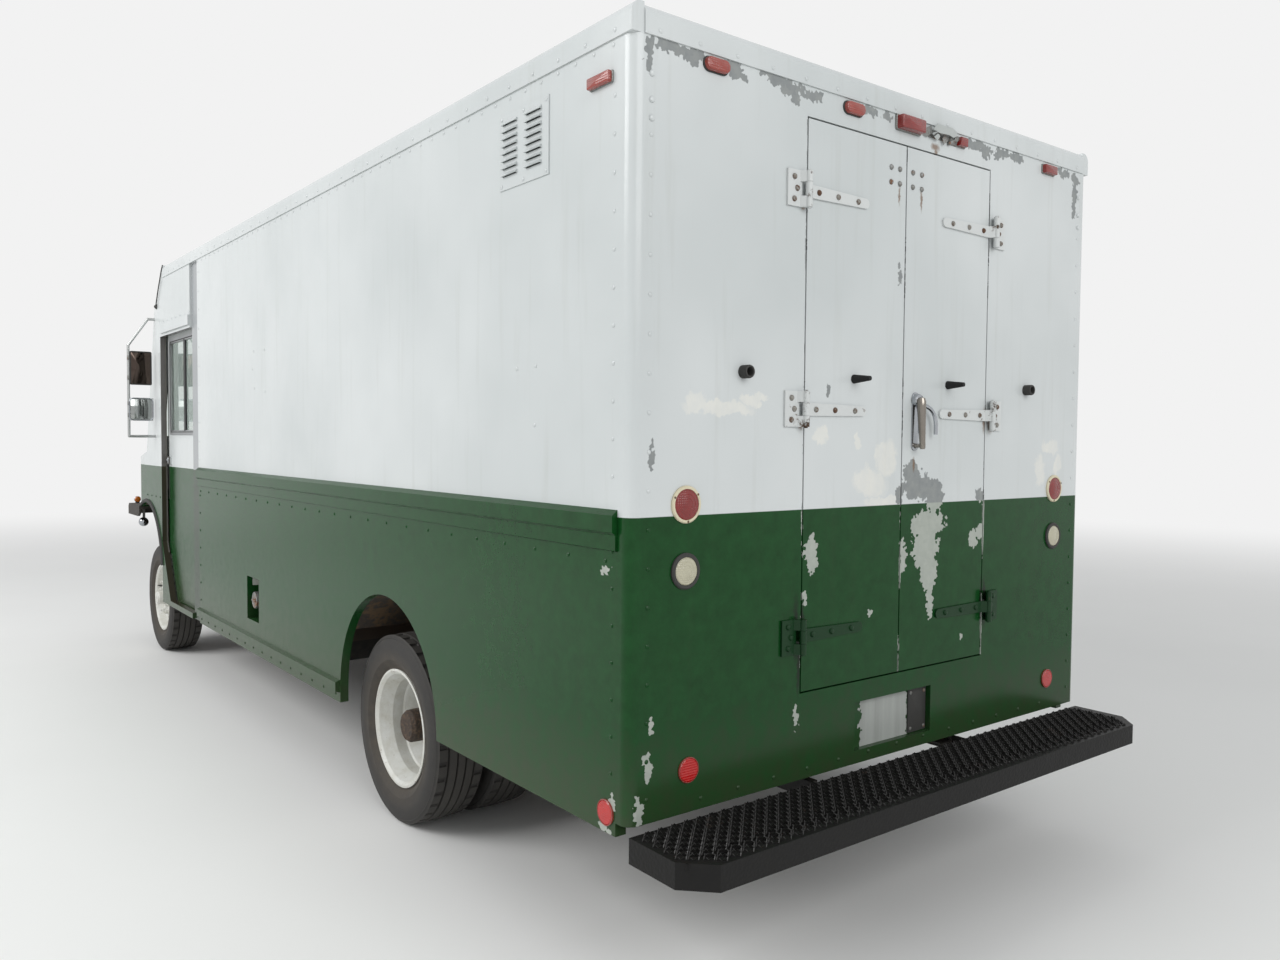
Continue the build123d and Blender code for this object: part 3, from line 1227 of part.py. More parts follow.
def driveline():
    # Gearbox behind the engine and a sloping propeller shaft to the rear axle.
    front = ENGINE_HOLE_X + 60
    back = front - GEARBOX_LENGTH
    case = rod_x(GEARBOX_RADIUS, back, front, 0, GEARBOX_Z)
    pinion = (REAR_AXLE_X + PINION_REACH - 10, 0, TYRE_RADIUS)
    return case + (rod_between(SHAFT_RADIUS, pinion, (back + 10, 0, GEARBOX_Z)) - rear_axle())


def fuel_tank():
    # Tank hung from the left rail, with a filler neck up to the pocket in the side panel.
    tank = block(*TANK_X, RAIL_OUT + 20, TANK_OUT, *TANK_Z)
    tank = fillet(tank.edges().filter_by(Axis.X), TANK_ROUND)
    for x in (TANK_X[0] + 150, TANK_X[1] - 190):
        tank += block(x, x + 50, RAIL_OUT, RAIL_OUT + 30, RAIL_LOW + 10, RAIL_HIGH - 20)
    cap_x = sum(FILLER_X) / 2
    cap = rod_y(FILLER_CAP_RADIUS, HALF - WALL - 20, HALF - 10, cap_x, FILLER_CAP_Z)
    return tank + filler_neck(FILLER_NECK_RADIUS) + cap


def exhaust():
    # Down pipe from the engine, along to the silencer, then out behind it to the side.
    r, y, z = PIPE_RADIUS, PIPE_Y, PIPE_Z
    down_x, down_y = DOWN_PIPE
    route = [
        (down_x, down_y, RAIL_LOW + 50), (down_x, down_y, z), (down_x, y, z), (OUTLET_X, y, z),
        (OUTLET_X, y, OUTLET_Z), (OUTLET_X, -HALF + 25, OUTLET_Z),
    ]
    pipe = joined(rod_between(r, a, b) for a, b in zip(route, route[1:]))
    pipe += joined(Pos(*bend) * Sphere(r) for bend in route[1:-1])
    pipe += rod_x(SILENCER_RADIUS, *SILENCER_X, y, SILENCER_Z)
    for x in (SILENCER_X[0] + 100, SILENCER_X[1] - 120):
        pipe += block(x, x + 30, y + 60, -RAIL_OUT, RAIL_HIGH - 120, RAIL_HIGH - 100)
    return pipe


def bumper_outline(inset):
    half = CHEEK_HALF + 10
    side, x = half - 10 - 3 * inset, RAIL_END
    return [
        (x - inset, -side), (x - inset, side), (x + 40 - inset, side),
        (FRONT_BUMPER_X - inset, half - BUMPER_WRAP - inset),
        (FRONT_BUMPER_X - inset, inset + BUMPER_WRAP - half), (x + 40 - inset, -side),
    ]


def front_bumper():
    low, high = BUMPER_Z
    skin = BUMPER_SKIN
    bar = plan_prism(bumper_outline(0), low, high)
    bar -= plan_prism(bumper_outline(skin), low + skin, high - skin)
    horn = block(RAIL_END, FRONT_BUMPER_X - 5, RAIL_OUT - 60, RAIL_OUT, RAIL_LOW + 10, high - skin)
    return bar + both_sides(horn)


def step_outline(inset):
    # Plan of the rear step, with its corners cut off, set in by the same amount all round.
    back, cut, slide = inset - STEP_DEPTH, STEP_CHAMFER, inset * (math.sqrt(2) - 1)
    half = [
        (-STEP_CLEAR - inset, HALF - inset), (cut - STEP_DEPTH + slide, HALF - inset),
        (back, HALF - cut - slide),
    ]
    return half + [(x, -y) for x, y in half[::-1]]


def rear_step():
    # Edge channel, open grip bars on cross bars, and two arms from the frame rails.
    low = STEP_TOP - STEP_HEIGHT
    whole = plan_prism(step_outline(0), low, STEP_TOP)
    step = whole - plan_prism(step_outline(STEP_SKIN), low - 1, STEP_TOP - 6)
    step -= plan_prism(step_outline(STEP_RIM), low - 1, STEP_TOP + 1)
    first = STEP_RIM + 16 - STEP_DEPTH
    for x in range(round(first), -STEP_CLEAR - STEP_RIM - STEP_BAR, STEP_BAR_PITCH):
        step += block(x, x + STEP_BAR, 20 - HALF, HALF - 20, STEP_TOP - 22, STEP_TOP - 2)
    for y in STEP_CROSSBARS_Y:
        step += block(10 - STEP_DEPTH, -12, y - 20, y + 20, STEP_TOP - 34, STEP_TOP - 18)
    arm_end = RAIL_START + 220
    arm = block(20 - STEP_DEPTH, arm_end, RAIL_OUT, RAIL_OUT + 10, low + 10, STEP_TOP - 6)
    return step + both_sides(arm)


def build():
    os.makedirs("parts", exist_ok=True)
    save("side_panel_left", side_panel_left())
    save("side_panel_right", side_panel_right())
    save("side_vent", vent_louvre())
    save("roof", roof())
    save("roof_rails", roof_rails())
    save("rear_frame", rear_frame() + both_sides(door_stay_cup()))
    save("floor", floor() + step_wells())
    save("wheel_houses", wheel_houses())
    save("bulkhead", bulkhead())
    save("cab_shell", cab_shell() + door_headers() + hood_hinges())
    save("windshield", windshield())
    save("nose_panel", nose())
    save("hood", hood())
    save("grille", grille())
    save("headlamps", headlamps())
    save("front_fenders", front_fenders())
    save("door_tracks", door_tracks())
    save("dashboard", dashboard() + engine_cover())
    save("seat_base", seat_base())
    save("seat_cushion", seat_cushion())
    save("mirrors", mirrors())
    save("rub_rails", rub_rails())
    save("tail_lamps", tail_lamps())
    save("hinge_brackets", both_sides(rear_hinges(hinge_fixed)) + hatch_hinges_fixed())
    save("serving_hatch", serving_hatch() + hatch_hinges_moving())
    save("serving_counter", serving_counter())
    save("ladder_frame", ladder_rails())
    save("crossmembers", crossmembers())
    save("front_axle", front_axle())
    save("rear_axle", rear_axle())
    save("leaf_springs", leaf_springs())
    save("engine", engine())
    save("driveline", driveline())
    save("fuel_tank", fuel_tank())
    save("exhaust", exhaust())
    save("front_bumper", front_bumper())
    save("rear_step", rear_step())
    save("tie_rod", tie_rod())
    save("door_latch", door_latch())
    front = Pos(FRONT_AXLE_X, WHEEL_Y, TYRE_RADIUS)
    twins = Pos(REAR_AXLE_X, WHEEL_Y - DUAL_SPACING / 2, TYRE_RADIUS)
    twin_tyres = Pos(0, DUAL_SPACING / 2, 0) * tyre() + Pos(0, -DUAL_SPACING / 2, 0) * tyre()
    handed = {
        "rear_door": rear_door(),
        "door_straps": rear_hinges(hinge_strap) + door_stay_cone(),
        "cab_door": cab_door(),
        "cab_door_glass": cab_door_glass(),
        "knuckle": knuckle(),
        "front_wheel": front * front_wheel(),
        "front_tyre": front * tyre(),
        "rear_wheels": twins * rear_dual(),
        "rear_tyres": twins * twin_tyres,
    }
    for name, shape in handed.items():
        save(f"{name}_left", shape)
        save(f"{name}_right", other_side(shape))


build()
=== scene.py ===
import math

import bmesh
import bpy
from mathutils import Matrix, Vector


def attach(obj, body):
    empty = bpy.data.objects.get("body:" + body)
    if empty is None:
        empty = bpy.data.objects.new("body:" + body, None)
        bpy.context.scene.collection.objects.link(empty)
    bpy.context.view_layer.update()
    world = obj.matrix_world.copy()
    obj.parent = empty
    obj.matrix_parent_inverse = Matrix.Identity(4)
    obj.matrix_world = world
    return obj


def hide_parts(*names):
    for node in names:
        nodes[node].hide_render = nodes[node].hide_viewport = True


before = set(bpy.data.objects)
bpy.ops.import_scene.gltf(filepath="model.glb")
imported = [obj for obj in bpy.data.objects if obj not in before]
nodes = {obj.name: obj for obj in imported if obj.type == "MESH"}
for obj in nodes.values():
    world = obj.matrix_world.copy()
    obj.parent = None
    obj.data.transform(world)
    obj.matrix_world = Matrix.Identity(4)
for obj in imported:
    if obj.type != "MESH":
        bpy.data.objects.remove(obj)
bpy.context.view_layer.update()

# Walk-in van used as a food truck. Metres, +X forward, +Y the driver's side, +Z up.
REAR, FRONT = Vector((-1, 0, 0)), Vector((1, 0, 0))
LEFT, RIGHT, UP = Vector((0, 1, 0)), Vector((0, -1, 0)), Vector((0, 0, 1))
SIDES = (("left", 1), ("right", -1))
# The rear face is this far behind the origin, and a side this far out from the middle.
MIDDLE, HALF = 3.425, 1.245
REAR_FACE = -MIDDLE
# Heights: where white meets green, the load floor, the strap hinges and the top lamps.
COLOUR_SPLIT, FLOOR_TOP = 1.485, 0.862
HINGE_HEIGHTS = (2.540, 1.820, 1.060)
TOP_LAMP_Z = 2.852
REAR_AXLE, FRONT_AXLE, AXLE_HEIGHT = 1.837 - MIDDLE, 6.357 - MIDDLE, 0.420
FRONT_TYRE_Y, INNER_TYRE_Y = 1.041, 0.756
# Rear door leaves: their hinge line, the middle of a leaf, and their lower and upper ends.
HINGE_Y, LEAF_Y, LEAF_LOW, LEAF_HIGH = 0.5205, 0.2595, 0.866, 2.774
# Height of the stay cones on the open doors' faces and of the cups that catch them.
STAY_Z = 1.931
# Wall posts and roof bows of the load body, in metres ahead of the rear face.
POST_STATIONS = (0.42, 1.02, 1.62, 2.24, 2.92, 3.50, 4.10)


def linear(code):
    """An sRGB hex colour as linear RGBA."""
    parts = [int(code[i:i + 2], 16) / 255 for i in (1, 3, 5)]
    return [c / 12.92 if c <= 0.04045 else ((c + 0.055) / 1.055) ** 2.4 for c in parts] + [1.0]


def node(tree, kind, inputs=None, out=0, ramp=None, **settings):
    """Adds a shader node with its settings, values and links, and gives back one of its outputs."""
    made = tree.nodes.new("ShaderNode" + kind)
    for key, value in settings.items():
        setattr(made, key, value)
    if ramp:
        stops = made.color_ramp.elements
        while len(stops) < len(ramp):
            stops.new(0.5)
        for stop, (at, colour) in zip(stops, ramp):
            stop.position = at
            stop.color = linear(colour) if isinstance(colour, str) else (colour, colour, colour, 1)
    for key, value in (inputs or {}).items():
        if isinstance(value, bpy.types.NodeSocket):
            tree.links.new(value, made.inputs[key])
        else:
            made.inputs[key].default_value = value
    return made.outputs[out] if made.outputs else made


# Finishes

# The settings of a Mix node that mixes colours: 0 is the share, 6 and 7 the two colours.
COLOURS = {"out": 2, "data_type": "RGBA"}


def new_finish(name):
    """A new material with an empty tree, and its Object coordinates."""
    finish = bpy.data.materials.new(name)
    finish.use_nodes = True
    finish.node_tree.nodes.clear()
    tree = finish.node_tree
    return finish, tree, node(tree, "TexCoord", out="Object")


def close_finish(tree, colour, roughness, height=None, relief=0.001, **fixed):
    """Ends a finish in its shader; height is a pattern whose full step is relief metres."""
    inputs = {"Base Color": colour, "Roughness": roughness, **fixed}
    if height is not None:
        inputs["Normal"] = node(tree, "Bump", {"Height": height, "Distance": relief, "Strength": 1.0})
    node(tree, "OutputMaterial", {"Surface": node(tree, "BsdfPrincipled", inputs)})


def nearness(tree, place, spots):
    """How near a point is to the closest of some spots: 0 at its middle, 1 at its edge."""
    closest = None
    for middle, half in spots:
        shrunk = node(tree, "Mapping", {
            "Vector": place,
            "Location": [-m / h for m, h in zip(middle, half)],
            "Scale": [1 / h for h in half],
        })
        away = node(tree, "VectorMath", {0: shrunk}, out="Value", operation="LENGTH")
        if closest is not None:
            away = node(tree, "Math", {0: away, 1: closest}, operation="MINIMUM")
        closest = away
    return closest


def torn(tree, place, size, amount):
    """The place, pushed about by noise, so that a shape drawn with it gets ragged edges."""
    noise = node(tree, "TexNoise", {
        "Vector": place, "Scale": 1 / size, "Detail": 6.0, "Roughness": 0.65,
    }, out="Color")
    push = node(tree, "VectorMath", {0: noise, 1: (0.5, 0.5, 0.5)}, operation="SUBTRACT")
    return node(tree, "VectorMath", {0: push, 1: [amount] * 3, 2: place}, operation="MULTIPLY_ADD")


def streaks(tree, place, across, along):
    """Dirt that has run down: noise drawn out along Z."""
    long = node(tree, "Mapping", {"Vector": place, "Scale": (1 / across, 1 / across, 1 / along)})
    return node(tree, "TexNoise", {"Vector": long, "Scale": 1.0, "Detail": 5.0, "Roughness": 0.6})


def narrowed(tree, held, *tests):
    """A mask of 0 and 1, kept only where each (value, edge, operation) test holds too."""
    for value, edge, operation in tests:
        test = node(tree, "Math", {0: value, 1: edge}, operation=operation)
        held = node(tree, "Math", {0: held, 1: test}, operation="MULTIPLY")
    return held


def from_axle(tree, place, axle):
    """How far a point is from a wheel's axle line."""
    centred = node(tree, "Mapping", {
        "Vector": place, "Location": (-axle, 0, -AXLE_HEIGHT), "Scale": (1, 0, 1),
    })
    return node(tree, "VectorMath", {0: centred}, out="Value", operation="LENGTH")


def rear_spot(y, z, half_y, half_z):
    """A spot on the rear face, with its half sizes, for nearness."""
    return (REAR_FACE, y, z), (0.05, half_y, half_z)


# Places where the paint is gone: on the rear frame, on its doors, and low on the sides.
FRAME_CHIPS = [
    rear_spot(1.115, 2.872, 0.060, 0.022), rear_spot(1.02, 2.862, 0.055, 0.026),
    rear_spot(1.19, 2.82, 0.018, 0.06), rear_spot(0.855, 2.862, 0.032, 0.022),
    rear_spot(0.82, 2.845, 0.022, 0.014), rear_spot(0.68, 2.872, 0.065, 0.018),
    rear_spot(0.60, 2.855, 0.060, 0.028), rear_spot(0.565, 2.838, 0.024, 0.026),
    rear_spot(0.49, 2.860, 0.050, 0.018), rear_spot(0.205, 2.868, 0.045, 0.018),
    rear_spot(0.12, 2.862, 0.040, 0.016), rear_spot(-0.42, 2.866, 0.070, 0.022),
    rear_spot(-0.49, 2.845, 0.040, 0.024), rear_spot(-0.60, 2.856, 0.065, 0.024),
    rear_spot(-0.70, 2.860, 0.055, 0.022), rear_spot(-1.06, 2.862, 0.060, 0.018),
    rear_spot(-1.145, 2.76, 0.022, 0.080), rear_spot(-1.15, 2.84, 0.025, 0.03),
    rear_spot(1.165, 1.675, 0.011, 0.040), rear_spot(1.175, 0.74, 0.011, 0.055),
    rear_spot(1.205, 0.62, 0.016, 0.045), rear_spot(1.16, 0.86, 0.008, 0.03),
    rear_spot(0.535, 0.79, 0.012, 0.045),
]
DOOR_CHIPS = [
    rear_spot(-0.10, 1.545, 0.115, 0.050), rear_spot(-0.06, 1.60, 0.050, 0.045),
    rear_spot(-0.20, 1.505, 0.060, 0.060), rear_spot(-0.165, 1.405, 0.115, 0.050),
    rear_spot(-0.150, 1.320, 0.085, 0.075), rear_spot(-0.175, 1.225, 0.055, 0.075),
    rear_spot(-0.185, 1.120, 0.022, 0.085), rear_spot(-0.015, 1.30, 0.022, 0.07),
    rear_spot(0.475, 1.335, 0.034, 0.066), rear_spot(-0.455, 1.34, 0.034, 0.034),
    rear_spot(-0.49, 1.50, 0.022, 0.032), rear_spot(-0.50, 1.36, 0.018, 0.035),
    rear_spot(0.505, 1.18, 0.012, 0.035), rear_spot(0.02, 1.52, 0.02, 0.03),
    rear_spot(0.17, 1.10, 0.009, 0.013), rear_spot(0.03, 2.31, 0.011, 0.040),
    rear_spot(0.40, 1.885, 0.012, 0.030), rear_spot(-0.39, 0.95, 0.012, 0.014),
]
SIDE_CHIPS = [((x - MIDDLE, HALF, z), (along, 0.05, high)) for x, z, along, high in (
    (0.118, 1.325, 0.034, 0.014), (0.075, 0.620, 0.016, 0.036), (0.110, 0.535, 0.032, 0.014),
    (4.700, 1.490, 0.050, 0.020),
)]
# Where decals have come off and kept the white paint clean.
FRAME_STAINS = [
    rear_spot(0.90, 1.815, 0.15, 0.022), rear_spot(1.00, 1.84, 0.035, 0.035),
    rear_spot(0.76, 1.845, 0.05, 0.016), rear_spot(-0.93, 1.60, 0.035, 0.060),
    rear_spot(-1.00, 1.70, 0.060, 0.030), rear_spot(-1.06, 1.62, 0.025, 0.05),
]
DOOR_STAINS = [
    rear_spot(0.09, 1.66, 0.055, 0.06), rear_spot(0.17, 1.57, 0.09, 0.05), rear_spot(0.10, 1.50, 0.11, 0.022),
    rear_spot(0.44, 1.74, 0.03, 0.03), rear_spot(0.24, 1.715, 0.014, 0.024),
]
# Rust and black grime: under a broken lamp, round the hinges, at the old bolts.
FRAME_RUST = [
    rear_spot(-0.165, 2.808, 0.026, 0.016), rear_spot(-0.170, 2.785, 0.010, 0.030),
    rear_spot(0.545, 1.085, 0.014, 0.11), rear_spot(0.530, 0.95, 0.010, 0.10),
    rear_spot(-0.535, 1.08, 0.014, 0.10), rear_spot(-0.555, 1.80, 0.022, 0.05),
    rear_spot(0.536, 1.77, 0.014, 0.02), rear_spot(0.536, 2.49, 0.014, 0.015),
]
DOOR_RUST = [
    rear_spot(0.515, 1.085, 0.010, 0.10), rear_spot(-0.515, 1.08, 0.010, 0.10),
    rear_spot(-0.515, 1.80, 0.014, 0.05), rear_spot(0.04, 2.60, 0.007, 0.035),
    rear_spot(-0.087, 2.60, 0.007, 0.045), rear_spot(-0.072, 1.63, 0.008, 0.030),
]


def coachwork(name, split=COLOUR_SPLIT, lining=1.214, worn=(), stained=(), rusting=(), rear=False):
    """Alkyd coach enamel, brushed and rolled over riveted aluminium sheet: hazy white above, dark
    green below, worn through to grey primer; faces further in than lining stay plain off-white."""
    finish, tree, place = new_finish(name)
    axes = node(tree, "SeparateXYZ", {0: place})
    x, y, z = (axes.node.outputs[i] for i in range(3))
    beam = node(tree, "Math", {0: y}, operation="ABSOLUTE")
    # Tonal drift of hand-mixed paint over about 0.9 m, and chalking over 60 mm.
    drift = node(tree, "TexNoise", {"Vector": place, "Scale": 1.1, "Detail": 3.0})
    chalk = node(tree, "TexNoise", {"Vector": place, "Scale": 16.0, "Detail": 6.0, "Roughness": 0.7})
    runs = streaks(tree, place, 0.05, 0.9)
    upper = node(tree, "MapRange", {"Value": z, "From Min": split - 0.001, "From Max": split + 0.001})
    white = node(tree, "Mix", {
        0: node(tree, "ValToRGB", {0: drift}, ramp=[(0.35, 0.0), (0.68, 1.0)]),
        6: linear("#C9CDCD"), 7: linear("#BCC1C1"),
    }, **COLOURS)
    white = node(tree, "Mix", {
        0: node(tree, "ValToRGB", {0: runs}, ramp=[(0.56, 0.0), (0.85, 0.30)]),
        6: white, 7: linear("#A4A69F"),
    }, **COLOURS)
    if stained:
        cleaner = node(tree, "MapRange", {
            "Value": nearness(tree, torn(tree, place, 0.07, 0.11), stained),
            "From Min": 0.85, "From Max": 1.15, "To Min": 0.85, "To Max": 0.0,
        })
        cleaner = node(tree, "Math", {0: cleaner, 1: chalk}, operation="MULTIPLY")
        white = node(tree, "Mix", {0: cleaner, 6: white, 7: linear("#E2DFD5")}, **COLOURS)
    green = node(tree, "Mix", {
        0: node(tree, "ValToRGB", {0: chalk}, ramp=[(0.30, 0.0), (0.75, 1.0)]),
        6: linear("#0A3713"), 7: linear("#12451D"),
    }, **COLOURS)
    green = node(tree, "Mix", {
        0: node(tree, "ValToRGB", {0: runs}, ramp=[(0.52, 0.0), (0.85, 0.30)]),
        6: green, 7: linear("#263A20"),
    }, **COLOURS)
    paint = node(tree, "Mix", {0: upper, 6: green, 7: white}, **COLOURS)
    # Road dust thrown up over the lowest 0.4 m, darker where it has caught in streaks.
    dusty = node(tree, "MapRange", {
        "Value": node(tree, "Math", {0: chalk, 1: 0.5, 2: z}, operation="MULTIPLY_ADD"),
        "From Min": 0.74, "From Max": 1.10, "To Min": 0.40, "To Max": 0.0,
    })
    paint = node(tree, "Mix", {0: dusty, 6: paint, 7: linear("#4A4B3B")}, **COLOURS)
    # Paint flakes off in angular bits of about 10 mm, so chips have broken edges and islands.
    flakes = node(tree, "TexVoronoi", {"Vector": torn(tree, place, 0.012, 0.010), "Scale": 95.0},
                  out="Position")
    loose = node(tree, "TexNoise", {"Vector": flakes, "Scale": 33.0, "Detail": 3.0})
    chips = node(tree, "Value")
    if worn:
        chips = nearness(tree, torn(tree, flakes, 0.045, 0.075), worn)
        chips = node(tree, "Math", {0: loose, 1: 1.5, 2: chips}, operation="MULTIPLY_ADD")
        chips = node(tree, "Math", {0: chips, 1: 1.72}, operation="LESS_THAN")
    # The same along the edges of the rear doors, where they have been slammed and pried.
    gap = node(tree, "Math", {0: beam, 1: HINGE_Y}, operation="SUBTRACT")
    gap = node(tree, "Math", {0: gap}, operation="ABSOLUTE")
    gap = node(tree, "Math", {0: gap, 1: beam}, operation="MINIMUM")
    by_gap = node(tree, "MapRange", {
        "Value": gap, "From Min": 0.002, "From Max": 0.020, "To Min": 1.0, "To Max": 0.0,
    })
    long_loose = node(tree, "TexNoise", {
        "Vector": node(tree, "Mapping", {"Vector": flakes, "Scale": (24, 24, 5)}),
        "Scale": 1.0, "Detail": 3.0,
    })
    by_gap = node(tree, "Math", {0: by_gap, 1: long_loose}, operation="MULTIPLY")
    below_sill = node(tree, "Math", {0: z, 1: 0.95}, operation="LESS_THAN")
    by_gap = node(tree, "Math", {0: below_sill, 1: -0.06, 2: by_gap}, operation="MULTIPLY_ADD")
    by_gap = node(tree, "Math", {0: upper, 1: -0.06, 2: by_gap}, operation="MULTIPLY_ADD")
    by_gap = node(tree, "Math", {0: by_gap, 1: 0.47}, operation="GREATER_THAN")
    by_gap = narrowed(tree, by_gap, (x, REAR_FACE + 0.012, "LESS_THAN"),
                      (z, LEAF_LOW, "GREATER_THAN"), (z, LEAF_HIGH, "LESS_THAN"))
    chips = node(tree, "Math", {0: chips, 1: by_gap}, operation="MAXIMUM")
    bare_low = node(tree, "Mix", {0: loose, 6: linear("#8F968E"), 7: linear("#AEB2AA")}, **COLOURS)
    bare_high = node(tree, "Mix", {0: loose, 6: linear("#6F7478"), 7: linear("#949793")}, **COLOURS)
    primer = node(tree, "Mix", {0: upper, 6: bare_low, 7: bare_high}, **COLOURS)
    paint = node(tree, "Mix", {0: chips, 6: paint, 7: primer}, **COLOURS)
    if rusting:
        rusty = node(tree, "MapRange", {
            "Value": nearness(tree, torn(tree, place, 0.02, 0.030), rusting),
            "From Min": 0.45, "From Max": 1.2, "To Min": 0.80, "To Max": 0.0,
        })
        rust = node(tree, "Mix", {0: upper, 6: linear("#151613"), 7: linear("#6E5238")}, **COLOURS)
        paint = node(tree, "Mix", {0: rusty, 6: paint, 7: rust}, **COLOURS)
    if rear:
        # Bare aluminium in the licence plate recess, where the paint never held.
        ragged = node(tree, "SeparateXYZ", {0: torn(tree, flakes, 0.03, 0.07)}).node.outputs["Y"]
        plate = node(tree, "Math", {0: ragged, 1: 0.045, 2: 0.135}, operation="COMPARE")
        plate = narrowed(tree, plate, (x, REAR_FACE + 0.02255, "GREATER_THAN"),
                         (x, REAR_FACE + 0.02955, "LESS_THAN"))
        tarnish = node(tree, "Mix", {0: runs, 6: linear("#B4B7B4"), 7: linear("#7E827C")}, **COLOURS)
        paint = node(tree, "Mix", {0: plate, 6: paint, 7: tarnish}, **COLOURS)
    if lining:
        # Inner faces of the body are plain off-white, scuffed by loads.
        inner = node(tree, "Math", {0: beam, 1: lining}, operation="LESS_THAN")
        over_arch = node(tree, "Math", {0: x, 1: REAR_AXLE, 2: 0.62}, operation="COMPARE")
        raised = node(tree, "Math", {0: over_arch, 1: -0.20, 2: z}, operation="MULTIPLY_ADD")
        inner = narrowed(tree, inner, (x, REAR_FACE + 0.03, "GREATER_THAN"), (x, 2.60, "LESS_THAN"),
                         (raised, 0.84, "GREATER_THAN"))
        cloth = node(tree, "Mix", {0: chalk, 6: linear("#B4B6AF"), 7: linear("#C6C8C2")}, **COLOURS)
        paint = node(tree, "Mix", {0: inner, 6: paint, 7: cloth}, **COLOURS)
    if lining and not rear:
        # The set-in post behind each cab door is darkened: painted shade of its recessed channel.
        post = node(tree, "Math", {0: x, 1: 1.4575, 2: 0.0974}, operation="COMPARE")
        post = narrowed(tree, post, (beam, 1.222, "GREATER_THAN"))
        post = node(tree, "Math", {0: post, 1: 0.80}, operation="MULTIPLY")
        # Painted shade colours of the post: near-black green below the split, mid grey above.
        grime_and_shade = node(tree, "Mix", {0: upper, 6: linear("#1A2A18"), 7: linear("#85888B")}, **COLOURS)
        paint = node(tree, "Mix", {0: post, 6: paint, 7: grime_and_shade}, **COLOURS)
        # Brown grease and old weatherstrip glue on the returns of the cab door openings.
        returns = node(tree, "Math", {0: beam, 1: 1.2250, 2: 0.0193}, operation="COMPARE")
        returns = narrowed(tree, returns, (x, 1.56, "GREATER_THAN"), (x, 2.428, "LESS_THAN"),
                           (z, 2.462, "LESS_THAN"))
        returns = node(tree, "Math", {0: returns, 1: 0.85}, operation="MULTIPLY")
        paint = node(tree, "Mix", {0: returns, 6: paint, 7: linear("#3B322B")}, **COLOURS)
    rough = node(tree, "MapRange", {
        "Value": chalk, "From Min": 0.3, "From Max": 0.7, "To Min": 0.17, "To Max": 0.27,
    })
    rough = node(tree, "Math", {0: chips, 1: 0.25, 2: rough}, operation="MULTIPLY_ADD")
    # Sheet metal that isn't flat: 1.4 mm waves about 0.5 m long, with orange peel on top.
    waves = node(tree, "TexNoise", {"Vector": place, "Scale": 2.2, "Detail": 1.0})
    peel = node(tree, "TexNoise", {"Vector": place, "Scale": 240.0, "Detail": 2.0})
    height = node(tree, "Math", {0: peel, 1: 0.012, 2: waves}, operation="MULTIPLY_ADD")
    height = node(tree, "Math", {0: chips, 1: -0.14, 2: height}, operation="MULTIPLY_ADD")
    gloss = node(tree, "Math", {0: upper, 1: 0.18, 2: 0.22}, operation="MULTIPLY_ADD")
    close_finish(tree, paint, rough, height, 0.0014, **{"Specular IOR Level": gloss})
    return finish


def roof_enamel():
    """White alkyd enamel on the roof sheets, chalked and streaked, with grey sealant over each seam."""
    finish, tree, place = new_finish("roof_enamel")
    axes = node(tree, "SeparateXYZ", {0: place})
    chalk = node(tree, "TexNoise", {"Vector": place, "Scale": 5.0, "Detail": 7.0, "Roughness": 0.7})
    grime_and_shade = node(tree, "TexNoise", {"Vector": place, "Scale": 38.0, "Detail": 4.0, "Roughness": 0.7})
    white = node(tree, "ValToRGB", {0: chalk}, out="Color",
                 ramp=[(0.30, "#CED3D3"), (0.60, "#C3C8C8"), (0.85, "#ABAFAC")])
    white = node(tree, "Mix", {
        0: node(tree, "ValToRGB", {0: grime_and_shade}, ramp=[(0.56, 0.0), (0.85, 0.22)]),
        6: white, 7: linear("#8B8A83"),
    }, **COLOURS)
    # Sheets 1.22 m long, joined under a brushed band of sealant 70 mm wide.
    along = node(tree, "Math", {0: axes.node.outputs["X"], 1: 1.22, 2: 0.0}, operation="WRAP")
    band = node(tree, "Math", {0: along, 1: 0.61}, operation="SUBTRACT")
    band = node(tree, "Math", {0: band}, operation="ABSOLUTE")
    wobble = node(tree, "Math", {0: grime_and_shade, 1: 0.012, 2: band}, operation="MULTIPLY_ADD")
    band = node(tree, "MapRange", {"Value": wobble, "From Min": 0.038, "From Max": 0.044,
                                   "To Min": 1.0, "To Max": 0.0})
    white = node(tree, "Mix", {0: band, 6: white, 7: linear("#B3B4B0")}, **COLOURS)
    rough = node(tree, "MapRange", {"Value": chalk, "To Min": 0.35, "To Max": 0.65})
    height = node(tree, "Math", {0: grime_and_shade, 1: 0.3, 2: band}, operation="MULTIPLY_ADD")
    close_finish(tree, white, rough, height, 0.0012)
    return finish


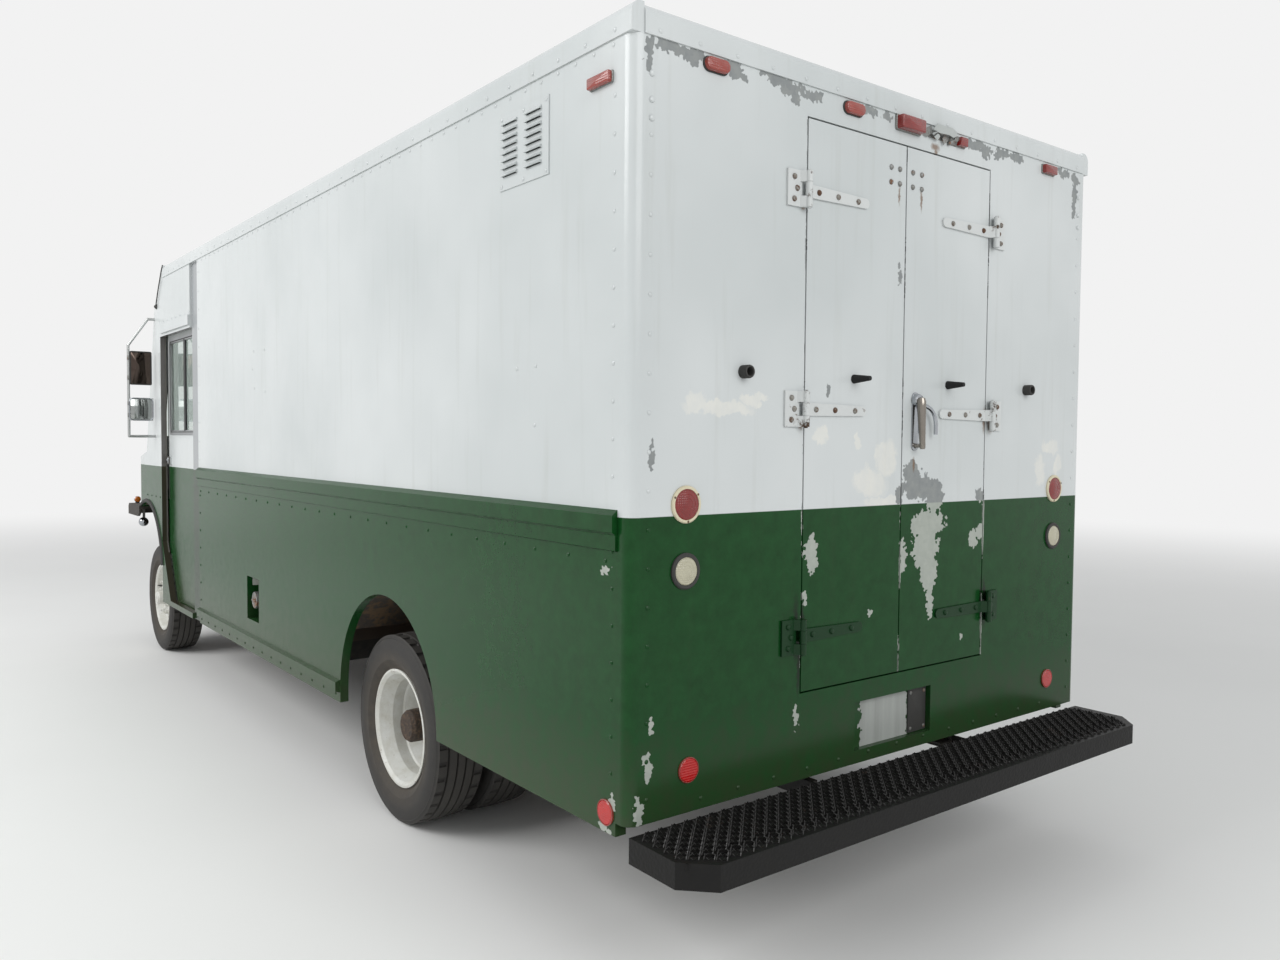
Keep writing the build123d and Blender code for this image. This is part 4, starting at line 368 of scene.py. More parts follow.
def wheel_enamel(name, axle, rust_radius):
    """White chassis enamel brushed on pressed steel: brake dust in the dish, rust round the hub."""
    finish, tree, place = new_finish(name)
    radius = from_axle(tree, place, axle)
    chalk = node(tree, "TexNoise", {"Vector": place, "Scale": 14.0, "Detail": 6.0, "Roughness": 0.7})
    fine = node(tree, "TexNoise", {"Vector": place, "Scale": 90.0, "Detail": 4.0})
    white = node(tree, "ValToRGB", {0: chalk}, out="Color",
                 ramp=[(0.30, "#D6D7D3"), (0.62, "#C4C3BA"), (0.85, "#98917F")])
    edge = node(tree, "Math", {0: chalk, 1: 0.05, 2: radius}, operation="MULTIPLY_ADD")
    rusty = node(tree, "MapRange", {"Value": edge, "From Min": rust_radius, "From Max": rust_radius + 0.045,
                                    "To Min": 1.0, "To Max": 0.0})
    rust = node(tree, "ValToRGB", {0: fine}, out="Color",
                ramp=[(0.30, "#241E1A"), (0.55, "#3F3228"), (0.80, "#66503A")])
    paint = node(tree, "Mix", {0: rusty, 6: white, 7: rust}, **COLOURS)
    # Rust specks of 2 to 5 mm where stones have hit the rim.
    specks = node(tree, "MapRange", {"Value": fine, "From Min": 0.66, "From Max": 0.70})
    near_rim = node(tree, "MapRange", {"Value": radius, "From Min": 0.20, "From Max": 0.262})
    specks = node(tree, "Math", {0: specks, 1: near_rim}, operation="MULTIPLY")
    paint = node(tree, "Mix", {0: specks, 6: paint, 7: linear("#6B4629")}, **COLOURS)
    rough = node(tree, "Math", {0: rusty, 1: 0.35, 2: 0.42}, operation="MULTIPLY_ADD")
    close_finish(tree, paint, rough, fine, 0.0006)
    return finish


def tyre_rubber(name, axle):
    """Carbon-black rubber, moulded: scuffed grey on the tread, brown dust settled on the sidewall."""
    finish, tree, place = new_finish(name)
    radius = from_axle(tree, place, axle)
    scuff = node(tree, "TexNoise", {"Vector": place, "Scale": 22.0, "Detail": 7.0, "Roughness": 0.75})
    grit = node(tree, "TexNoise", {"Vector": place, "Scale": 300.0, "Detail": 2.0})
    rubber = node(tree, "ValToRGB", {0: scuff}, out="Color",
                  ramp=[(0.30, "#1E1E1F"), (0.60, "#2A2A2A"), (0.85, "#3E3C38")])
    worn = node(tree, "MapRange", {"Value": radius, "From Min": 0.405, "From Max": 0.418,
                                   "To Min": 0.0, "To Max": 0.45})
    rubber = node(tree, "Mix", {0: worn, 6: rubber, 7: linear("#4C4A46")}, **COLOURS)
    dust = node(tree, "MapRange", {"Value": radius, "From Min": 0.27, "From Max": 0.36,
                                   "To Min": 0.40, "To Max": 0.08})
    dust = node(tree, "Math", {0: dust, 1: scuff}, operation="MULTIPLY")
    rubber = node(tree, "Mix", {0: dust, 6: rubber, 7: linear("#7A6C58")}, **COLOURS)
    rough = node(tree, "MapRange", {"Value": scuff, "To Min": 0.60, "To Max": 0.88})
    height = node(tree, "Math", {0: grit, 1: 0.3, 2: scuff}, operation="MULTIPLY_ADD")
    close_finish(tree, rubber, rough, height, 0.0008)
    return finish


def worn_steel(name, clean, dusty, rusty, rust_share, rough=0.55, metallic=0.0, grain=30.0):
    """Steel under a thin coat, or bare: dust in the hollows and rust breaking through in patches."""
    finish, tree, place = new_finish(name)
    blotch = node(tree, "TexNoise", {"Vector": place, "Scale": 7.0, "Detail": 8.0, "Roughness": 0.72})
    fine = node(tree, "TexNoise", {"Vector": place, "Scale": grain, "Detail": 5.0, "Roughness": 0.7})
    colour = node(tree, "Mix", {
        0: node(tree, "ValToRGB", {0: fine}, ramp=[(0.35, 0.0), (0.75, 1.0)]),
        6: linear(clean), 7: linear(dusty),
    }, **COLOURS)
    both = node(tree, "Math", {0: fine, 1: 0.4, 2: blotch}, operation="MULTIPLY_ADD")
    through = node(tree, "MapRange", {"Value": both, "From Min": 0.95 - 0.45 * rust_share,
                                      "From Max": 1.02 - 0.45 * rust_share})
    colour = node(tree, "Mix", {0: through, 6: colour, 7: linear(rusty)}, **COLOURS)
    uneven = node(tree, "Math", {0: through, 1: 0.25, 2: rough}, operation="MULTIPLY_ADD")
    shine = node(tree, "Math", {0: through, 1: -metallic, 2: metallic},
                 operation="MULTIPLY_ADD") if metallic else 0.0
    close_finish(tree, colour, uneven, both, 0.0009, Metallic=shine)
    return finish


def sheet_metal(name, light, dark, rough, brushed=(1, 1, 1), metallic=1.0):
    """Bare sheet or extrusion: faint rolling lines, handling marks and a cloudy oxide film."""
    finish, tree, place = new_finish(name)
    drawn = node(tree, "Mapping", {"Vector": place, "Scale": [s * 60 for s in brushed]})
    lines = node(tree, "TexNoise", {"Vector": drawn, "Scale": 1.0, "Detail": 4.0})
    cloud = node(tree, "TexNoise", {"Vector": place, "Scale": 6.0, "Detail": 6.0, "Roughness": 0.7})
    colour = node(tree, "Mix", {0: cloud, 6: linear(light), 7: linear(dark)}, **COLOURS)
    uneven = node(tree, "MapRange", {"Value": cloud, "To Min": rough - 0.08, "To Max": rough + 0.14})
    close_finish(tree, colour, uneven, lines, 0.0003, Metallic=metallic)
    return finish


def moulded(name, light, dark, rough, grain=500.0, relief=0.0004, **fixed):
    """Moulded plastic or rubber: an even tone with a fine moulded grain, hazed by wear."""
    finish, tree, place = new_finish(name)
    haze = node(tree, "TexNoise", {"Vector": place, "Scale": 18.0, "Detail": 6.0, "Roughness": 0.7})
    pebble = node(tree, "TexVoronoi", {"Vector": place, "Scale": grain})
    colour = node(tree, "Mix", {0: haze, 6: linear(light), 7: linear(dark)}, **COLOURS)
    uneven = node(tree, "MapRange", {"Value": haze, "To Min": rough - 0.08, "To Max": rough + 0.12})
    close_finish(tree, colour, uneven, pebble, relief, **fixed)
    return finish


def lens(name, light, dark, pitch=0.0035, clear=0.0):
    """Moulded acrylic lamp lens: glossy outside, with rows of small prisms and sun-faded colour."""
    finish, tree, place = new_finish(name)
    fade = node(tree, "TexNoise", {"Vector": place, "Scale": 30.0, "Detail": 4.0})
    colour = node(tree, "Mix", {0: fade, 6: linear(light), 7: linear(dark)}, **COLOURS)
    axes = node(tree, "SeparateXYZ", {0: place})
    rows = []
    for axis in ("Y", "Z"):
        ridge = node(tree, "Math", {0: axes.node.outputs[axis], 1: pitch}, operation="PINGPONG")
        rows.append(node(tree, "Math", {0: ridge, 1: pitch}, operation="DIVIDE"))
    prisms = node(tree, "Math", {0: rows[0], 1: rows[1]}, operation="ADD")
    rough = node(tree, "MapRange", {"Value": fade, "To Min": 0.08, "To Max": 0.22})
    close_finish(tree, colour, rough, prisms, 0.0005, IOR=1.49,
                 **{"Transmission Weight": clear, "Coat Weight": 0.4, "Coat Roughness": 0.05})
    return finish


def glazing():
    """Flat laminated safety glass, greenish in depth, with a film of dust that gathers low down."""
    finish, tree, place = new_finish("safety_glass")
    film = node(tree, "TexNoise", {"Vector": place, "Scale": 9.0, "Detail": 6.0, "Roughness": 0.7})
    tint = node(tree, "Mix", {0: film, 6: linear("#EAF2EE"), 7: linear("#D5DEDA")}, **COLOURS)
    rough = node(tree, "MapRange", {"Value": film, "From Min": 0.35, "From Max": 0.9,
                                    "To Min": 0.0, "To Max": 0.10})
    shader = node(tree, "BsdfPrincipled", {
        "Base Color": tint, "Roughness": rough, "IOR": 1.52, "Transmission Weight": 1.0,
    })
    clear = node(tree, "BsdfTransparent", {"Color": linear("#DFE8E4")})
    seen = node(tree, "LightPath", out="Is Shadow Ray")
    node(tree, "OutputMaterial", {"Surface": node(tree, "MixShader", {0: seen, 1: shader, 2: clear})})
    return finish


def mirror_glass(name, clean, foxed):
    """Silvered mirror glass, slightly foxed and dusty."""
    finish, tree, place = new_finish(name)
    film = node(tree, "TexNoise", {"Vector": place, "Scale": 26.0, "Detail": 6.0, "Roughness": 0.7})
    colour = node(tree, "Mix", {0: film, 6: linear(clean), 7: linear(foxed)}, **COLOURS)
    rough = node(tree, "MapRange", {"Value": film, "From Min": 0.4, "From Max": 0.8,
                                    "To Min": 0.02, "To Max": 0.16})
    close_finish(tree, colour, rough, film, 0.0001, Metallic=1.0)
    return finish


def tread_plate():
    """Aluminium tread plate on the load floor: raised bars 25 mm long, crossed, polished by feet."""
    finish, tree, place = new_finish("aluminium_tread_plate")
    axes = node(tree, "SeparateXYZ", {0: place})
    wear = node(tree, "TexNoise", {"Vector": place, "Scale": 3.0, "Detail": 6.0, "Roughness": 0.7})
    turned_place = node(tree, "Mapping", {"Vector": place, "Rotation": (0, 0, math.pi / 4),
                                          "Scale": (26, 26, 26)})
    bars = node(tree, "TexBrick", {
        "Vector": turned_place, "Scale": 1.0, "Mortar Size": 0.16, "Mortar Smooth": 0.4,
        "Color1": (1, 1, 1, 1), "Color2": (1, 1, 1, 1), "Mortar": (0, 0, 0, 1),
        "Brick Width": 1.2, "Row Height": 0.5,
    }, out="Color", offset=0.5)
    top = node(tree, "Math", {0: axes.node.outputs["Z"], 1: FLOOR_TOP - 0.004}, operation="GREATER_THAN")
    raised = node(tree, "Math", {0: top, 1: bars}, operation="MULTIPLY")
    metal = node(tree, "ValToRGB", {0: wear}, out="Color",
                 ramp=[(0.30, "#9A9C9B"), (0.60, "#7E807F"), (0.85, "#5E5C55")])
    under = node(tree, "ValToRGB", {0: wear}, out="Color",
                 ramp=[(0.30, "#3A3733"), (0.60, "#4B3F35"), (0.85, "#5F4632")])
    colour = node(tree, "Mix", {0: top, 6: under, 7: metal}, **COLOURS)
    rough = node(tree, "MapRange", {"Value": wear, "To Min": 0.35, "To Max": 0.7})
    shine = node(tree, "Math", {0: top, 1: 0.85}, operation="MULTIPLY")
    close_finish(tree, colour, rough, raised, 0.0018, Metallic=shine)
    return finish


def strap_enamel(name):
    """Forged hinge iron under the body's paint; rust creeps out from knuckles and bolts, and the
    stay cones on the doors are black rubber."""
    finish, tree, place = new_finish(name)
    axes = node(tree, "SeparateXYZ", {0: place})
    blotch = node(tree, "TexNoise", {"Vector": place, "Scale": 24.0, "Detail": 7.0, "Roughness": 0.75})
    drift = node(tree, "TexNoise", {"Vector": place, "Scale": 3.1, "Detail": 2.0})
    upper = node(tree, "Math", {0: axes.node.outputs["Z"], 1: COLOUR_SPLIT}, operation="GREATER_THAN")
    paint = node(tree, "Mix", {0: upper, 6: linear("#0A3014"), 7: linear("#C6C9C8")}, **COLOURS)
    # More rust at the lower hinges, and on the knuckles, which stand out past 14 mm.
    low = node(tree, "MapRange", {"Value": axes.node.outputs["Z"], "From Min": 1.4, "From Max": 2.4,
                                  "To Min": 0.10, "To Max": 0.0})
    proud = node(tree, "MapRange", {
        "Value": axes.node.outputs["X"], "From Min": REAR_FACE - 0.032, "From Max": REAR_FACE - 0.010,
        "To Min": 0.10, "To Max": 0.0,
    })
    risk = node(tree, "Math", {0: blotch, 1: low}, operation="ADD")
    risk = node(tree, "Math", {0: risk, 1: proud}, operation="ADD")
    risk = node(tree, "Math", {0: drift, 1: 0.25, 2: risk}, operation="MULTIPLY_ADD")
    share = node(tree, "Math", {0: 0.84, 1: upper}, operation="MAXIMUM")
    risk = node(tree, "Math", {0: share, 1: risk}, operation="MULTIPLY")
    rusted = node(tree, "MapRange", {"Value": risk, "From Min": 0.78, "From Max": 0.86})
    rust = node(tree, "ValToRGB", {0: blotch}, out="Color",
                ramp=[(0.35, "#241E1A"), (0.60, "#44352A"), (0.80, "#664630")])
    paint = node(tree, "Mix", {0: rusted, 6: paint, 7: rust}, **COLOURS)
    cones = [((REAR_FACE - 0.04, side * 0.27, STAY_Z), (0.060, 0.032, 0.032)) for side in (-1, 1)]
    cone = nearness(tree, place, cones)
    cone = node(tree, "Math", {0: cone, 1: 1.0}, operation="LESS_THAN")
    paint = node(tree, "Mix", {0: cone, 6: paint, 7: linear("#232323")}, **COLOURS)
    rough = node(tree, "Math", {0: rusted, 1: cone}, operation="MAXIMUM")
    rough = node(tree, "Math", {0: rough, 1: 0.38, 2: 0.36}, operation="MULTIPLY_ADD")
    close_finish(tree, paint, rough, blotch, 0.0007, **{"Specular IOR Level": 0.25})
    return finish


def worn_vinyl():
    """Expanded PVC seat cloth, leather grain embossed, creased and greyed where it is sat on."""
    finish, tree, place = new_finish("worn_seat_vinyl")
    grain = node(tree, "TexVoronoi", {"Vector": place, "Scale": 420.0}, feature="DISTANCE_TO_EDGE")
    crease = node(tree, "TexNoise", {"Vector": place, "Scale": 12.0, "Detail": 6.0, "Roughness": 0.65,
                                     "Distortion": 0.8})
    colour = node(tree, "ValToRGB", {0: crease}, out="Color",
                  ramp=[(0.30, "#232427"), (0.58, "#303134"), (0.85, "#4A4A4A")])
    rough = node(tree, "MapRange", {"Value": crease, "To Min": 0.42, "To Max": 0.68})
    height = node(tree, "Math", {0: grain, 1: 0.12, 2: crease}, operation="MULTIPLY_ADD")
    close_finish(tree, colour, rough, height, 0.0016)
    return finish


enamel = coachwork("coach_enamel_two_tone", worn=SIDE_CHIPS)
rear_enamel = coachwork("coach_enamel_rear_frame", worn=FRAME_CHIPS, stained=FRAME_STAINS, rusting=FRAME_RUST,
                        rear=True)
rear_door_enamel = coachwork("coach_enamel_rear_doors", worn=DOOR_CHIPS, stained=DOOR_STAINS,
                             rusting=DOOR_RUST)
cab_door_enamel = coachwork("coach_enamel_cab_doors", lining=1.180)
rail_enamel = coachwork("coach_enamel_green_rails", split=1.60, lining=None)
cap_enamel = coachwork("coach_enamel_white_caps", split=0.0, lining=None)
roof_paint = roof_enamel()
hinge_paint = strap_enamel("hinge_iron_painted")
front_wheel_paint = wheel_enamel("wheel_enamel_front", FRONT_AXLE, 0.0)
rear_wheel_paint = wheel_enamel("wheel_enamel_rear", REAR_AXLE, 0.135)
front_rubber = tyre_rubber("tyre_rubber_front", FRONT_AXLE)
rear_rubber = tyre_rubber("tyre_rubber_rear", REAR_AXLE)
# Brushed chassis black over hot-rolled steel, dusty and rusting at the edges.
chassis_black = worn_steel("chassis_black_enamel", "#1B1B1B", "#39362F", "#5A3C28", 0.30)
# Cast and forged axle parts, never painted: dark rust under road film.
cast_iron = worn_steel("cast_iron_rusty", "#332A24", "#4A3C31", "#6B452B", 0.75, rough=0.70, grain=60.0)
# Galvanised bolts and fittings, dull zinc with rust starting.
zinc_steel = worn_steel("zinc_plated_steel", "#8F9190", "#6D6A63", "#704A2E", 0.45, rough=0.45, metallic=0.8,
                        grain=120.0)
strap_bolt = worn_steel("strap_bolt_steel", "#8B8A84", "#6A6259", "#553B2A", 0.62, rough=0.6, grain=160.0)
rusty_bolt = worn_steel("rusted_bolt_steel", "#4B4038", "#5C4A3B", "#6A482F", 0.70, rough=0.75, grain=160.0)
# Step grating: black enamel worn to steel along the tops of the teeth.
step_black = moulded("step_black_enamel", "#0B0B0B", "#191817", 0.50, grain=90.0, relief=0.0008,
                     **{"Specular IOR Level": 0.22})
tooth_steel = worn_steel("worn_tooth_steel", "#232221", "#100F0F", "#2E241C", 0.30, rough=0.36, metallic=0.35,
                         grain=70.0)
fender_black = moulded("fender_rubberised_black", "#25211E", "#38332D", 0.62)
sash_black = moulded("anodised_black_sash", "#1E2021", "#2B2C2C", 0.40)
# Wheel-arch liner: undersealed sheet with brown mud splash.
underseal = worn_steel("undersealed_sheet", "#26221E", "#40352B", "#54432F", 0.55, rough=0.80, grain=40.0)
aluminium = sheet_metal("mill_aluminium", "#B4B6B6", "#94979A", 0.42, brushed=(0.05, 1, 1))
stainless = sheet_metal("brushed_stainless_steel", "#B9BBBA", "#A3A5A4", 0.28, brushed=(0.04, 1, 1))
chrome = sheet_metal("chromed_die_casting", "#B9BCC0", "#93979C", 0.12)
# Latch chrome darkened to brown: partly painted reflection, partly worn tarnish.
latch_chrome = sheet_metal("latch_chrome_worn_and_painted_reflection", "#A09C96", "#6A6157", 0.14)
black_rubber = moulded("epdm_rubber", "#232323", "#3A3936", 0.68)
cream_plastic = moulded("cream_lamp_ring", "#D9D0B4", "#BFB79C", 0.42)
torn_plastic = moulded("weathered_white_acrylic", "#BDC1BF", "#9A9F9D", 0.34)
dash_plastic = moulded("dashboard_abs", "#3B3C3D", "#4A4A49", 0.55, grain=700.0)
dial_face = moulded("dial_face_black", "#101010", "#1C1C1C", 0.35)
red_lens = lens("red_acrylic_lens", "#861C19", "#671311")
faded_red_lens = lens("faded_red_acrylic", "#9C4236", "#7E2D25")
header_red = lens("dark_red_acrylic", "#8A211C", "#641512")
amber_lens = lens("amber_acrylic_lens", "#D8791C", "#B35C12")
white_lens = lens("frosted_white_lens", "#B9B59F", "#A29E88")
reflex_red = lens("reflex_red_acrylic", "#C4120F", "#9C0C0A", pitch=0.004)
clear_lens = lens("fluted_clear_lens", "#E8ECEC", "#D8DCDA", pitch=0.009, clear=0.85)
glass = glazing()
convex_mirror = mirror_glass("silvered_convex_mirror", "#A9ACAB", "#8E918E")
# The flat mirror's dark brown tint is a painted reflection, slightly foxed.
flat_mirror = mirror_glass("flat_mirror_painted_brown_reflection", "#5A4F49", "#433A35")
floor_metal = tread_plate()
vinyl = worn_vinyl()


# Shapes. Each template lies on its own origin, facing +Z, and is set in place by a matrix.

def as_mesh(bm):
    bmesh.ops.remove_doubles(bm, verts=bm.verts, dist=1e-6)
    bmesh.ops.recalc_face_normals(bm, faces=bm.faces)
    mesh = bpy.data.meshes.new("template")
    bm.to_mesh(mesh)
    bm.free()
    return mesh


def turned(outline, steps=32, start=0.0):
    """A turned shape: an outline of (radius, height) points spun about Z."""
    bm = bmesh.new()
    chain = [bm.verts.new((r, 0, h)) for r, h in outline]
    edges = [bm.edges.new(pair) for pair in zip(chain, chain[1:])]
    bmesh.ops.rotate(bm, verts=chain, cent=(0, 0, 0), matrix=Matrix.Rotation(start, 3, "Z"))
    bmesh.ops.spin(bm, geom=chain + edges, cent=(0, 0, 0), axis=(0, 0, 1), angle=math.tau, steps=steps,
                   use_merge=True)
    return as_mesh(bm)


def bar(x, y, z, ease=0.002, steps=2):
    """A rectangular bar of that size round the origin, its edges eased."""
    bm = bmesh.new()
    bmesh.ops.create_cube(bm, size=1)
    bmesh.ops.scale(bm, vec=(x, y, z), verts=bm.verts)
    bmesh.ops.bevel(bm, geom=bm.edges[:], affect="EDGES", offset=ease, segments=steps, profile=0.5,
                    material=-1)
    return as_mesh(bm)


def tablet(width, height, depth, corner, ease=0.002, border=0.0, steps=4):
    """A plate standing on Z = 0 with round corners and an eased face; border makes it a frame."""
    bm = bmesh.new()
    x, y = width / 2, height / 2
    bm.faces.new([bm.verts.new((a, b, 0)) for a, b in ((-x, -y), (x, -y), (x, y), (-x, y))])
    bmesh.ops.bevel(bm, geom=bm.verts[:], affect="VERTICES", offset=corner, segments=steps, profile=0.5,
                    material=-1)
    if border:
        bm.normal_update()
        middle = bm.faces[:]
        bmesh.ops.inset_region(bm, faces=middle, thickness=border, use_boundary=True, use_even_offset=True)
        bmesh.ops.delete(bm, geom=middle, context="FACES")
    raised = bmesh.ops.extrude_face_region(bm, geom=bm.faces[:])["geom"]
    tops = [g for g in raised if isinstance(g, bmesh.types.BMVert)]
    bmesh.ops.translate(bm, vec=(0, 0, depth), verts=tops)
    if ease:
        bmesh.ops.recalc_face_normals(bm, faces=bm.faces)
        rim = [e for e in bm.edges if all(v.co.z > depth * 0.9 for v in e.verts)
               and any(abs(f.normal.z) < 0.1 for f in e.link_faces)]
        bmesh.ops.bevel(bm, geom=rim, affect="EDGES", offset=ease, segments=2, profile=0.5, material=-1)
    return as_mesh(bm)


def wire(points, radius, closed=False, smooth=False, sides=6):
    """A round rod or tube along some points."""
    line = bpy.data.curves.new("wire", "CURVE")
    line.dimensions = "3D"
    line.bevel_depth = radius
    line.bevel_resolution = max(0, sides // 2 - 2)
    line.use_fill_caps = True
    spline = line.splines.new("NURBS" if smooth else "POLY")
    spline.points.add(len(points) - 1)
    for point, at in zip(spline.points, points):
        point.co = (*at, 1)
    spline.use_cyclic_u = closed
    if smooth:
        spline.order_u = 3
        spline.use_endpoint_u = not closed
        spline.resolution_u = 6
    holder = bpy.data.objects.new("wire", line)
    mesh = bpy.data.meshes.new_from_object(holder)
    bpy.data.objects.remove(holder)
    bpy.data.curves.remove(line)
    return mesh


def stand(at, facing, up=UP):
    """The place of a template: its +Z turned to facing and its +Y to up."""
    z = Vector(facing).normalized()
    x = Vector(up).cross(z).normalized()
    y = z.cross(x)
    turn = Matrix((x, y, z)).transposed().to_4x4()
    return Matrix.Translation(at) @ turn


def across(place):
    """The same place on the other side of the van."""
    return Matrix.Scale(-1, 4, (0, 1, 0)) @ place


def both(*places):
    return [p for place in places for p in (place, across(place))]


def handed(side, place):
    """The place on the left side, or its mirror image on the right."""
    return place if side > 0 else across(place)


def moved(place, x, y, z):
    """The place shifted along its own axes."""
    return place @ Matrix.Translation((x, y, z))


def piece(name, body, *shapes, slot, crease=32, stands_for=None):
    """One object joined from (template, finish, places) shapes, riding on a body."""
    bm = bmesh.new()
    finishes = []
    for template, finish, places in shapes:
        if finish not in finishes:
            finishes.append(finish)
        for place in places:
            part = template.copy()
            part.transform(place)
            if place.determinant() < 0:
                part.flip_normals()
            part.polygons.foreach_set("material_index", [finishes.index(finish)] * len(part.polygons))
            bm.from_mesh(part)
            bpy.data.meshes.remove(part)
    mesh = bpy.data.meshes.new(name)
    bm.to_mesh(mesh)
    bm.free()
    for finish in finishes:
        mesh.materials.append(finish)
    mesh.polygons.foreach_set("use_smooth", [True] * len(mesh.polygons))
    mesh.set_sharp_from_angle(angle=math.radians(crease))
    made = bpy.data.objects.new(name, mesh)
    bpy.context.scene.collection.objects.link(made)
    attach(made, body)
    if stands_for:
        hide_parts(stands_for)


def station(mm):
    """A distance in mm ahead of the rear face as a place along X."""
    return mm / 1000 - MIDDLE


STILL = [Matrix.Identity(4)]
rivet = turned([(0.0075, -0.001), (0.0072, 0.001), (0.0045, 0.0030), (0.0, 0.0036)], steps=8)
button_bolt = turned([(0.010, -0.001), (0.010, 0.002), (0.0075, 0.0055), (0.0035, 0.0070), (0.0, 0.0072)],
                     steps=12)

# Carried-over CAD pieces take these finishes.
COATS = {
    enamel: ["side_panel_left", "side_panel_right", "cab_shell", "nose_panel", "hood", "serving_hatch",
             "side_vent"],
    rear_enamel: ["rear_frame"],
    rear_door_enamel: ["rear_door_left", "rear_door_right"],
    cab_door_enamel: ["cab_door_left", "cab_door_right"],
    roof_paint: ["roof"],
    cap_enamel: ["roof_rails"],
    rail_enamel: ["rub_rails"],
    hinge_paint: ["hinge_brackets", "door_straps_left", "door_straps_right"],
    chassis_black: ["ladder_frame", "crossmembers", "front_bumper", "fuel_tank"],
    step_black: ["rear_step"],
    fender_black: ["front_fenders"],
    cast_iron: ["front_axle", "rear_axle", "leaf_springs", "engine", "driveline", "knuckle_left",
                "knuckle_right", "tie_rod", "exhaust"],
    underseal: ["wheel_houses"],
    aluminium: ["bulkhead", "door_tracks", "grille"],
    stainless: ["serving_counter", "mirrors"],
    floor_metal: ["floor"],
    dash_plastic: ["dashboard", "seat_base"],
    glass: ["windshield", "cab_door_glass_left", "cab_door_glass_right"],
    front_wheel_paint: ["front_wheel_left", "front_wheel_right"],
    rear_wheel_paint: ["rear_wheels_left", "rear_wheels_right"],
}
for coat, names in COATS.items():
    for name in names:
        slots = nodes[name].data.materials
        if slots:
            for i in range(len(slots)):
                slots[i] = coat
        else:
            slots.append(coat)


# Tyres

def ribbed_tyre():
    """A commercial ribbed tyre: four grooves round the tread and notches across its shoulders."""
    half = [
        (0.250, 0.083), (0.262, 0.0925), (0.272, 0.094), (0.278, 0.1010), (0.300, 0.1130),
        (0.303, 0.1155), (0.307, 0.1165), (0.311, 0.1158), (0.335, 0.1205), (0.360, 0.1210),
        (0.385, 0.1165), (0.397, 0.1120), (0.400, 0.1135), (0.404, 0.1110), (0.4145, 0.1035),
        (0.4155, 0.0660), (0.4060, 0.0640), (0.4060, 0.0580), (0.4165, 0.0560), (0.4180, 0.0240),
        (0.4080, 0.0225), (0.4080, 0.0165), (0.4185, 0.0150),
    ]
    outline = half + [(r, -w) for r, w in reversed(half)] + half[:1]
    steps = 108
    bm = bmesh.new()
    bm.from_mesh(turned(outline, steps=steps))
    notches = []
    for face in bm.faces:
        at = face.calc_center_median()
        radius, turn = math.hypot(at.x, at.y), math.degrees(math.atan2(at.y, at.x)) % 360
        if radius > 0.4125 and 0.067 < abs(at.z) < 0.104 and int(turn / (360 / steps)) % 3 == 0:
            notches.append(face)
    bmesh.ops.inset_individual(bm, faces=notches, thickness=0.004, depth=-0.007, use_even_offset=True)
    return as_mesh(bm)


tyre = ribbed_tyre()
valve = turned([(0.0, 0.0), (0.0060, 0.0), (0.0060, 0.018), (0.0042, 0.022), (0.0042, 0.034), (0.0, 0.036)],
               steps=8)
wheel_nut = turned([
    (0.0, -0.004), (0.0195, -0.004), (0.0195, 0.004), (0.0150, 0.006), (0.0150, 0.022), (0.0120, 0.025),
    (0.0082, 0.025), (0.0082, 0.036), (0.0, 0.037),
], steps=6)
# The split ring that locks the outer bead.
lock_ring = turned([
    (0.2555, 0.084), (0.2600, 0.0885), (0.2600, 0.0945), (0.2540, 0.0965), (0.2485, 0.0930), (0.2490, 0.0860),
    (0.2555, 0.084),
], steps=72)
NUTS, NUT_RING, VALVE_RING, VALVE_TURN = 8, 0.124, 0.215, 0.3


def on_wheel(axle, radius, turn, y):
    """A point that far from a wheel's axle line, at that turn from straight ahead."""
    return axle + radius * math.cos(turn), y, AXLE_HEIGHT + radius * math.sin(turn)


for hand, side in SIDES:
    wheels = (
        ("front_tyre_tread", "front_wheel", "front_tyre", FRONT_AXLE, (FRONT_TYRE_Y,), front_rubber),
        ("rear_tyre_treads", "rear_wheels", "rear_tyres", REAR_AXLE,
         (FRONT_TYRE_Y, INNER_TYRE_Y), rear_rubber),
    )
    for name, body, cad_tyre, axle, tyre_ys, rubber in wheels:
        places = [handed(side, stand((axle, y, AXLE_HEIGHT), LEFT)) for y in tyre_ys]
        piece(f"{name}_{hand}", f"{body}_{hand}", (tyre, rubber, places),
              slot="tyre_rubber", crease=28, stands_for=f"{cad_tyre}_{hand}")
    for axle, body, face, nut_finish, rim_finish in (
        (FRONT_AXLE, f"front_wheel_{hand}", 1.1095, front_wheel_paint, front_wheel_paint),
        (REAR_AXLE, f"rear_wheels_{hand}", 0.9055, rusty_bolt, rear_wheel_paint),
    ):
        turns = [math.tau * (i + 0.5) / NUTS for i in range(NUTS)]
        nuts = [handed(side, stand(on_wheel(axle, NUT_RING, turn, face), LEFT)) for turn in turns]
        stem = stand(on_wheel(axle, VALVE_RING, VALVE_TURN, face - 0.012), (0.35, 1, 0.1))
        piece(f"wheel_nuts_{body}", body, (wheel_nut, nut_finish, nuts),
              (valve, black_rubber, [handed(side, stem)]), slot="hardware")
        piece(f"lock_ring_{body}", body,
              (lock_ring, rim_finish, [handed(side, stand((axle, FRONT_TYRE_Y, AXLE_HEIGHT), LEFT))]),
              slot="wheel_white")


# Lamps and reflectors

def dome(radius, depth, rings=3):
    """A shallow lens with concentric steps."""
    outline = [(radius, 0.0), (radius, depth * 0.55)]
    for i in range(rings):
        r = radius * (0.94 - 0.26 * i)
        outline += [(r, depth * (0.72 + 0.09 * i)), (r - radius * 0.02, depth * (0.66 + 0.09 * i))]
    return turned(outline + [(0.0, depth)], steps=40)


